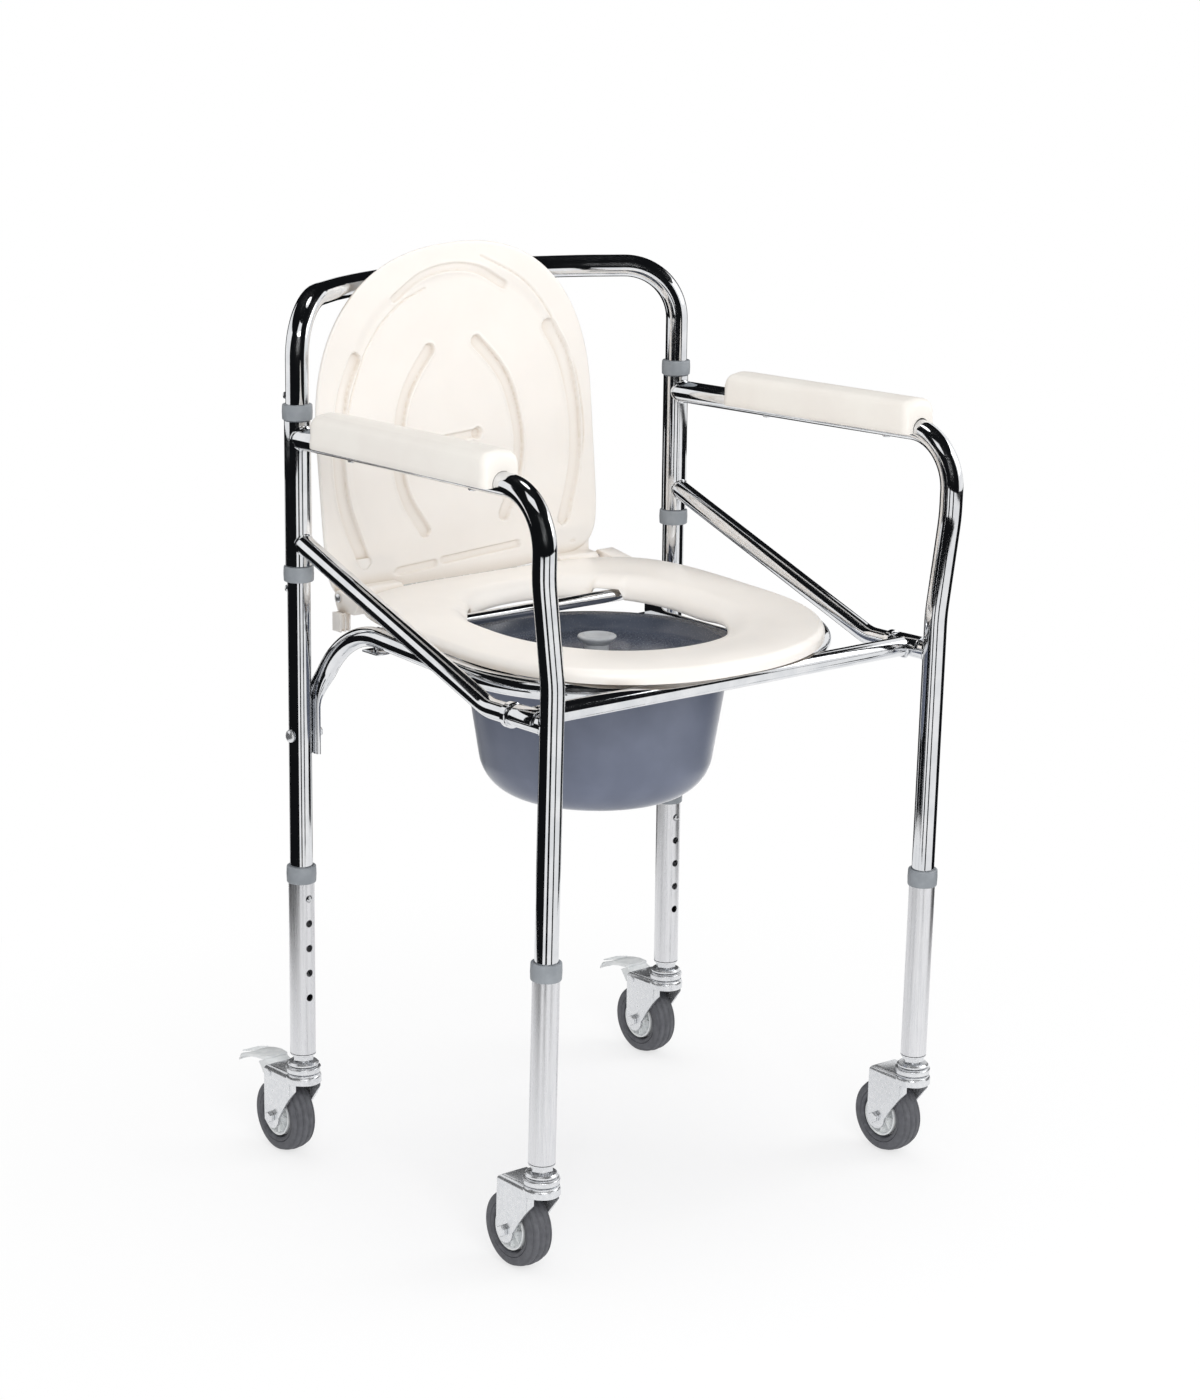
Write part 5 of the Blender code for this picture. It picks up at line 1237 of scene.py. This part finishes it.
def seat_ring():
    count = 240
    outer = oval(count, RING_HALF, -RING_FRONT_Y, RING_REAR_Y, RING_POWERS)
    inner = oval(count, OPEN_HALF, OPEN_FRONT, OPEN_REAR, OPEN_POWERS, OPEN_Y)
    rings = []
    for share, height, extra, hang in ring_section():
        ring = []
        for (xo, yo), (xi, yi) in zip(outer, inner):
            x, y = xi + (xo - xi) * share, yi + (yo - yi) * share
            low = RING_BASE_Z + SEAT_SLOPE * (y - FRONT_RUN_Y)
            high = RING_BASE_Z + RING_BAND + RING_SLOPE * (y - FRONT_RUN_Y)
            ring.append(Vector((x, y, low + (high - low) * height + extra - hang * lip_depth(yi))))
        rings.append(ring)
    parts = [loft(rings, closed=True)]
    front = RING_REAR_Y - 0.022
    for side in (-1, 1):
        x0 = side * EAR_X - EAR_W / 2
        base = RING_BASE_Z + SEAT_SLOPE * (front - FRONT_RUN_Y) + 0.0005
        top = RING_BASE_Z + RING_BAND + RING_SLOPE * (front - FRONT_RUN_Y) - 0.003
        ear = [(front, top), (front, base), (front + 0.006, base - EAR_DEPTH),
               (HINGE_Y + 0.002, base - EAR_DEPTH)]
        ear += arc((HINGE_Y, HINGE_Z), EAR_R, -20, 90, 14)
        parts.append(bevelled(prism(ear, x0, x0 + EAR_W, ALONG_X), 0.0009, 2, 55))
        parts += rear_foot(side)
    piece("seat_ring_moulding", joined(*parts), CREAM, "seat", ["seat_ring"], 50.0)


def lid_lean():
    run, rise = bow_y(LID_TOUCH_X) - HINGE_Y, BAR_Z - HINGE_Z
    slope = 2 * (BAR_APEX_Y - POST_Y) * LID_TOUCH_X / HALF ** 2
    offset = HINGE_DROP + LID_EDGE + TUBE_R * math.hypot(1, slope) + LID_REST_GAP
    return math.atan2(run, rise) - math.asin(offset / math.hypot(run, rise))


def lid_to_chair():
    """From the lid's flat frame (across, along, up from the hinge) to the chair, leaning on the bar."""
    stand = Matrix(((1, 0, 0, 0), (0, 0, 1, HINGE_Y), (0, 1, 0, HINGE_Z), (0, 0, 0, 1)))
    hinge = Matrix.Translation((0, HINGE_Y, HINGE_Z))
    return hinge @ Matrix.Rotation(-lid_lean(), 4, "X") @ hinge.inverted() @ stand


LID_MIDDLE = LID_LENGTH * 0.47
CHANNEL_HALF = 0.0068  # half-width of a moulded channel in the lid
OUTER_HALF = 0.0078
CHANNEL_DEPTH = 0.0036
CHANNEL_WALL = 0.0016
DASH_HALF, DASH_DEPTH = 0.0046, 0.0020
LINE_HALF, LINE_DEPTH = 0.0015, 0.0011
DISH_DEPTH, DISH_START, DISH_RAMP = 0.0024, 0.79, 0.08  # how the inner face sinks inside its rim
BEAD_OFF, BEAD_WIDTH, BEAD_SHARE = 0.0011, 0.0009, 0.2  # raised bead beside each channel
HINGE_FADE = 0.060  # length over which dish and beads grow, away from the hinge


def lid_edge_point(angle, scale=1.0):
    """A place on the lid's outline, in the given direction from its middle."""
    across, along = math.cos(angle), math.sin(angle)
    power, long = LID_CORNER, LID_MIDDLE - LID_START
    if along > 0:
        power, long = LID_TIP, LID_LENGTH - LID_MIDDLE
    reach = scale * (abs(across / LID_HALF) ** power + abs(along / long) ** power) ** (-1 / power)
    return reach * across, LID_MIDDLE + reach * along


def smoothed(points, steps=6):
    """A smooth curve through the given points."""
    points = [Vector(p) for p in points]
    ends = [points[0] * 2 - points[1]] + points + [points[-1] * 2 - points[-2]]
    curve = []
    for a, b, c, d in zip(ends, ends[1:], ends[2:], ends[3:]):
        for k in range(steps):
            t = k / steps
            curve.append(b + (c - a) * (t / 2) + (a * 2 - b * 5 + c * 4 - d) * (t * t / 2)
                         + (b * 3 - a - c * 3 + d) * (t ** 3 / 2))
    return [tuple(p) for p in curve] + [tuple(points[-1])]


def lid_channels():
    """The moulded channels on the lid's inner face: (centre line, half-width, depth)."""
    inner = smoothed([(0.0295, 0.233), (0.050, 0.210), (0.065, 0.185), (0.074, 0.150), (0.076, 0.122),
                      (0.068, 0.086), (0.050, 0.054)])
    outer = smoothed([(0.121, 0.236), (0.137, 0.205), (0.146, 0.165), (0.148, 0.123), (0.143, 0.085),
                      (0.127, 0.037)])
    runs = []
    for side in (-1, 1):
        for line, half in ((inner, CHANNEL_HALF), (outer, OUTER_HALF)):
            runs.append(([(side * x, s) for x, s in line], half, CHANNEL_DEPTH))
    top = smoothed([(-0.068, 0.289), (-0.036, 0.306), (0.0, 0.311), (0.036, 0.304), (0.068, 0.285)])
    runs.append((top, DASH_HALF, DASH_DEPTH))
    for x0, x1, s in ((-0.086, -0.042, 0.0200), (-0.030, 0.064, 0.0210), (-0.034, 0.024, 0.1415)):
        runs.append(([(x0, s), ((x0 + x1) / 2, s), (x1, s)], DASH_HALF, DASH_DEPTH))
    for x, s, half in ((0.024, 0.1415, 0.0066), (0.137, 0.0110, 0.0024)):
        runs.append(([(x, s), (x + 0.0002, s)], half, DASH_DEPTH))
    left = smoothed([(-0.141, 0.150), (-0.1317, 0.188), (-0.111, 0.234), (-0.088, 0.264), (-0.059, 0.284),
                     (-0.030, 0.294)])
    right = smoothed([(0.040, 0.317), (0.083, 0.293), (0.110, 0.267), (0.133, 0.230), (0.152, 0.187),
                      (0.159, 0.129), (0.152, 0.082)])
    return runs + [(left, LINE_HALF, LINE_DEPTH), (right, LINE_HALF, LINE_DEPTH)]


def distance_to_run(x, s, run):
    best = 1.0
    for (ax, as_), (bx, bs) in zip(run, run[1:]):
        dx, ds = bx - ax, bs - as_
        t = ((x - ax) * dx + (s - as_) * ds) / (dx * dx + ds * ds)
        t = min(1.0, max(0.0, t))
        best = min(best, math.hypot(x - ax - dx * t, s - as_ - ds * t))
    return best


def groove_share(x, s):
    """How far out a place on the lid is, as a share of the way to the groove curve."""
    power, reach = GROOVE_CORNER, LID_MIDDLE - GROOVE_START
    if s > LID_MIDDLE:
        power, reach = LID_TIP, LID_LENGTH - LID_MIDDLE
    return ((abs(x) / GROOVE_HALF) ** power + (abs(s - LID_MIDDLE) / reach) ** power) ** (1 / power)


def lid_face_height(x, s, runs):
    """Depth of the lid's inner face below its rim, with the channels cut in."""
    inside = 1 - smooth_step((groove_share(x, s) - DISH_START) / DISH_RAMP)
    depth = DISH_DEPTH * inside * smooth_step((s - 0.050) / HINGE_FADE)
    for run, half, deep, low, high in runs:
        if low[0] < x < high[0] and low[1] < s < high[1]:
            off = distance_to_run(x, s, run)
            wall = min(CHANNEL_WALL, half)
            cut = 1 - smooth_step((off - half + wall) / wall)
            bead = math.exp(-((off - half - BEAD_OFF) / BEAD_WIDTH) ** 2)
            bead = bead * smooth_step((s - 0.030) / HINGE_FADE)
            depth += deep * cut - BEAD_SHARE * deep * bead
    return depth


def lid_ring(angles, scale, height):
    """One ring of the lid: a share of its outline, at a height given by a function of the place."""
    ring = []
    for a in angles:
        x, s = lid_edge_point(a, scale)
        ring.append(Vector((x, s, height(x, s))))
    return ring


def lid_plate(face, edge, back):
    """The lid's plate, its inner face with the channels first and its back last."""
    count, steps = 460, 185
    angles = spread(count)
    margin = OUTER_HALF + 0.004
    runs = []
    for run, half, deep in lid_channels():
        low = (min(p[0] for p in run) - margin, min(p[1] for p in run) - margin)
        high = (max(p[0] for p in run) + margin, max(p[1] for p in run) + margin)
        runs.append((run, half, deep, low, high))
    rings = []
    for k in range(steps + 1):
        scale = 0.004 + 0.976 * k / steps
        rings.append(lid_ring(angles, scale, lambda x, s: face + lid_face_height(x, s, runs)))
    rim = [(0.988, face + 0.0001), (0.995, face + 0.0005), (0.999, face + 0.0012), (1.0, face + 0.0021)]
    rim += [(0.999, edge - 0.0012), (0.994, edge - 0.0004), (0.985, edge), (0.93, edge + 0.0012),
            (0.88, edge + 0.0035)]
    rim += [(0.80, back - 0.0022), (0.70, back - 0.0008), (0.45, back - 0.0002), (0.004, back)]
    for scale, height in rim:
        rings.append(lid_ring(angles, scale, lambda x, s: height))
    askew = Matrix.Translation((LID_OFFSET, 0, 0)) @ Matrix.Rotation(math.radians(LID_SKEW), 4, "Z")
    return moved(loft(rings), askew)


def seat_lid():
    face, edge, back = HINGE_DROP, HINGE_DROP + LID_EDGE, HINGE_DROP + LID_THICK
    parts = [lid_plate(face, edge, back)]
    reach = GROOVE_START + 0.022
    neck = HINGE_Y - RING_REAR_Y - 0.0014
    for side in (-1, 1):
        x0 = side * KNUCKLE_X - KNUCKLE_W / 2
        outline = arc((0, 0), EAR_R - 0.0008, 100, 370, 28)
        outline += [(neck, face), (neck + 0.0010, face + 0.0009), (reach, face + 0.0009),
                    (reach, edge - 0.0006)]
        outline += [(0.004, edge - 0.0006)]
        parts.append(bevelled(prism(outline, x0, x0 + KNUCKLE_W, ALONG_X), 0.0006, 2, 55))
    piece("seat_lid_moulding", moved(joined(*parts), lid_to_chair()), CREAM, "lid",
          ["seat_lid"], 50.0)


def hinge_pin():
    half = EAR_X + EAR_W / 2 + FIT
    profile = [(0.0006, -half - 0.0024), (0.0030, -half - 0.0019), (0.0044, -half - 0.0010),
               (0.0045, -half), (0.0030, -half)]
    profile += mirrored(profile)
    pin = moved(turned(profile, 32), Matrix.Rotation(math.pi / 2, 4, "Y"))
    piece("lid_pin", moved(pin, Matrix.Translation((0, HINGE_Y, HINGE_Z))), ZINC, "hinge_pin",
          ["lid_hinge_pin"])


def spring_clips():
    """The snap buttons keep their CAD shape and get their steel."""
    for name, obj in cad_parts.items():
        if "clip" in name:
            obj.data.materials.clear()
            obj.data.materials.append(SPRING)


# Camera, floor and light


def camera():
    """The photograph's camera, solved from the frame's tubes; the image is 1200 by 1400."""
    azimuth, elevation, roll = math.radians(-39.749), math.radians(14.1998), math.radians(0.6288)
    focal_px, distance, centre_x, centre_y = 3554.754, 3.4131, 583.0057, 706.4901
    wide, tall = 1200, 1400
    target = Vector((-0.0399, 0, 0.4715)) + ONTO_FRAME
    back = Vector((math.sin(azimuth) * math.cos(elevation), -math.cos(azimuth) * math.cos(elevation),
                   math.sin(elevation)))
    right = Vector((0, 0, 1)).cross(back).normalized()
    up = back.cross(right)
    right, up = right * math.cos(roll) + up * math.sin(roll), up * math.cos(roll) - right * math.sin(roll)
    eye = target + back * distance
    lens = bpy.data.cameras.new("photo_camera")
    lens.sensor_width = 36
    lens.lens = focal_px / tall * lens.sensor_width
    lens.shift_x = (wide / 2 - centre_x) / tall
    lens.shift_y = (centre_y - tall / 2) / tall
    obj = linked("photo_camera", lens)
    columns = [right, up, back, eye]
    obj.matrix_world = Matrix([[c[row] for c in columns] for row in range(3)] + [[0, 0, 0, 1]])
    bpy.context.scene.camera = obj


def seen_directly(tree):
    """1 for camera, mirror and see-through rays, and 0 for the rays that light surfaces."""
    rays = add_node(tree, "ShaderNodeLightPath").outputs
    seen = rays["Is Camera Ray"]
    for kind in ("Is Glossy Ray", "Is Transmission Ray"):
        seen = math_node(tree, "MAXIMUM", seen, rays[kind])
    return seen


def empty_material(name):
    """A material whose tree holds nothing but its output; returns it and the tree."""
    mat = bpy.data.materials.new(name)
    mat.use_nodes = True
    mat.node_tree.nodes.remove(mat.node_tree.nodes["Principled BSDF"])
    return mat, mat.node_tree


def floor():
    """A pale floor that keeps the chair's soft shadow and fades into the white background."""
    mat, tree = empty_material("studio_floor")
    place = add_node(tree, "ShaderNodeTexCoord").outputs["Object"]
    away = add_node(tree, "ShaderNodeVectorMath", {"operation": "LENGTH"}, {0: place})
    fade = add_node(tree, "ShaderNodeMapRange", {"interpolation_type": "SMOOTHSTEP"},
                    {"Value": away.outputs["Value"], "From Min": -0.80, "From Max": 0.95})
    share = math_node(tree, "MULTIPLY", fade.outputs["Result"], seen_directly(tree))
    paint = add_node(tree, "ShaderNodeBsdfDiffuse", {}, {"Color": linear("#fafafb")})
    white = add_node(tree, "ShaderNodeEmission", {}, {"Color": (1, 1, 1, 1), "Strength": 1.0})
    mixed = add_node(tree, "ShaderNodeMixShader", {}, {0: share, 1: paint.outputs[0], 2: white.outputs[0]})
    tree.links.new(mixed.outputs[0], tree.nodes["Material Output"].inputs["Surface"])
    mesh = bpy.data.meshes.new("floor")
    size, low = 12, -0.0002
    corners = [(-size, -size, low), (size, -size, low), (size, size, low), (-size, size, low)]
    mesh.from_pydata(corners, [], [(0, 1, 2, 3)])
    mesh.materials.append(mat)
    obj = linked("floor", mesh)


# Openings in the cloth: azimuth from, to and elevation from, to, in degrees about the middle of the dome
OPENINGS = [(-66, -50, -30, 4), (-38, -12, -30, 4), (-2, 48, -30, 4), (96, 124, -30, 4),
            (-176, -168, -30, 4), (-165, -112, 8, 40), (-75, -35, 46, 62), (36, 108, 6, 42),
            (150, 168, 14, 34), (-180, 180, 82, 91)]


def dome(radius, middle, step):
    """A dome of small faces that stands on the floor, without those inside an opening."""
    bm = bmesh.new()
    lowest = -math.degrees(math.asin(middle / radius))

    def corner(azimuth, elevation):
        a, e = math.radians(azimuth), math.radians(elevation)
        flat = radius * math.cos(e)
        return bm.verts.new((flat * math.sin(a), -flat * math.cos(a), middle + radius * math.sin(e)))

    for azimuth in range(-180, 180, step):
        for elevation in range(-26, 90, step):
            at_a, at_e = azimuth + step / 2, elevation + step / 2
            if any(a0 < at_a < a1 and e0 < at_e < e1 for a0, a1, e0, e1 in OPENINGS):
                continue
            low, high = max(elevation, lowest), elevation + step
            bm.faces.new([corner(azimuth, low), corner(azimuth + step, low), corner(azimuth + step, high),
                          corner(azimuth, high)])
    return bm


def black_cloth():
    """A dome of black cloth seen only in reflections; its openings are the bright streaks in the chrome."""
    mat, tree = empty_material("black_cloth")
    black = add_node(tree, "ShaderNodeEmission", {}, {"Color": linear("#141517"), "Strength": 1.0})
    tree.links.new(black.outputs[0], tree.nodes["Material Output"].inputs["Surface"])
    bm = dome(radius=1.05, middle=0.45, step=2)
    mesh = bpy.data.meshes.new("black_cloth")
    bm.to_mesh(mesh)
    bm.free()
    mesh.materials.append(mat)
    obj = linked("black_cloth", mesh)
    for kind in ("camera", "diffuse", "shadow", "transmission"):
        setattr(obj, "visible_" + kind, False)


def lights():
    world = bpy.data.worlds.new("studio")
    bpy.context.scene.world = world
    world.use_nodes = True
    tree = world.node_tree
    strength = add_node(tree, "ShaderNodeMapRange", {},
                        {"Value": seen_directly(tree), "To Min": 0.60, "To Max": 1.0})
    sky = tree.nodes["Background"]
    sky.inputs["Color"].default_value = (1, 1, 1, 1)
    tree.links.new(strength.outputs["Result"], sky.inputs["Strength"])
    for name, place, size, power in (("key_box", (-1.5, -2.5, 1.9), 1.6, 49),
                                     ("fill_box", (2.2, -1.2, 1.8), 1.6, 18),
                                     ("top_box", (0.2, 0.5, 3.0), 1.8, 14)):
        lamp = bpy.data.lights.new(name, "AREA")
        lamp.shape = "SQUARE"
        lamp.size = size
        lamp.energy = power
        obj = linked(name, lamp)
        obj.location = place
        aim = Vector((0, 0, 0.45)) - Vector(place)
        obj.rotation_euler = aim.to_track_quat("-Z", "Y").to_euler()
    bpy.context.scene.view_settings.view_transform = "Standard"


camera()
floor()
black_cloth()
lights()
back_frame()
pivot_collars()
pivot_bolts()
for side in (-1, 1):
    side_frame(side)
    arm_pad(side)
    for front in (False, True):
        extension(side, front)
seat_frame()
seat_ring()
seat_lid()
hinge_pin()
bucket()
bucket_lid()
spring_clips()
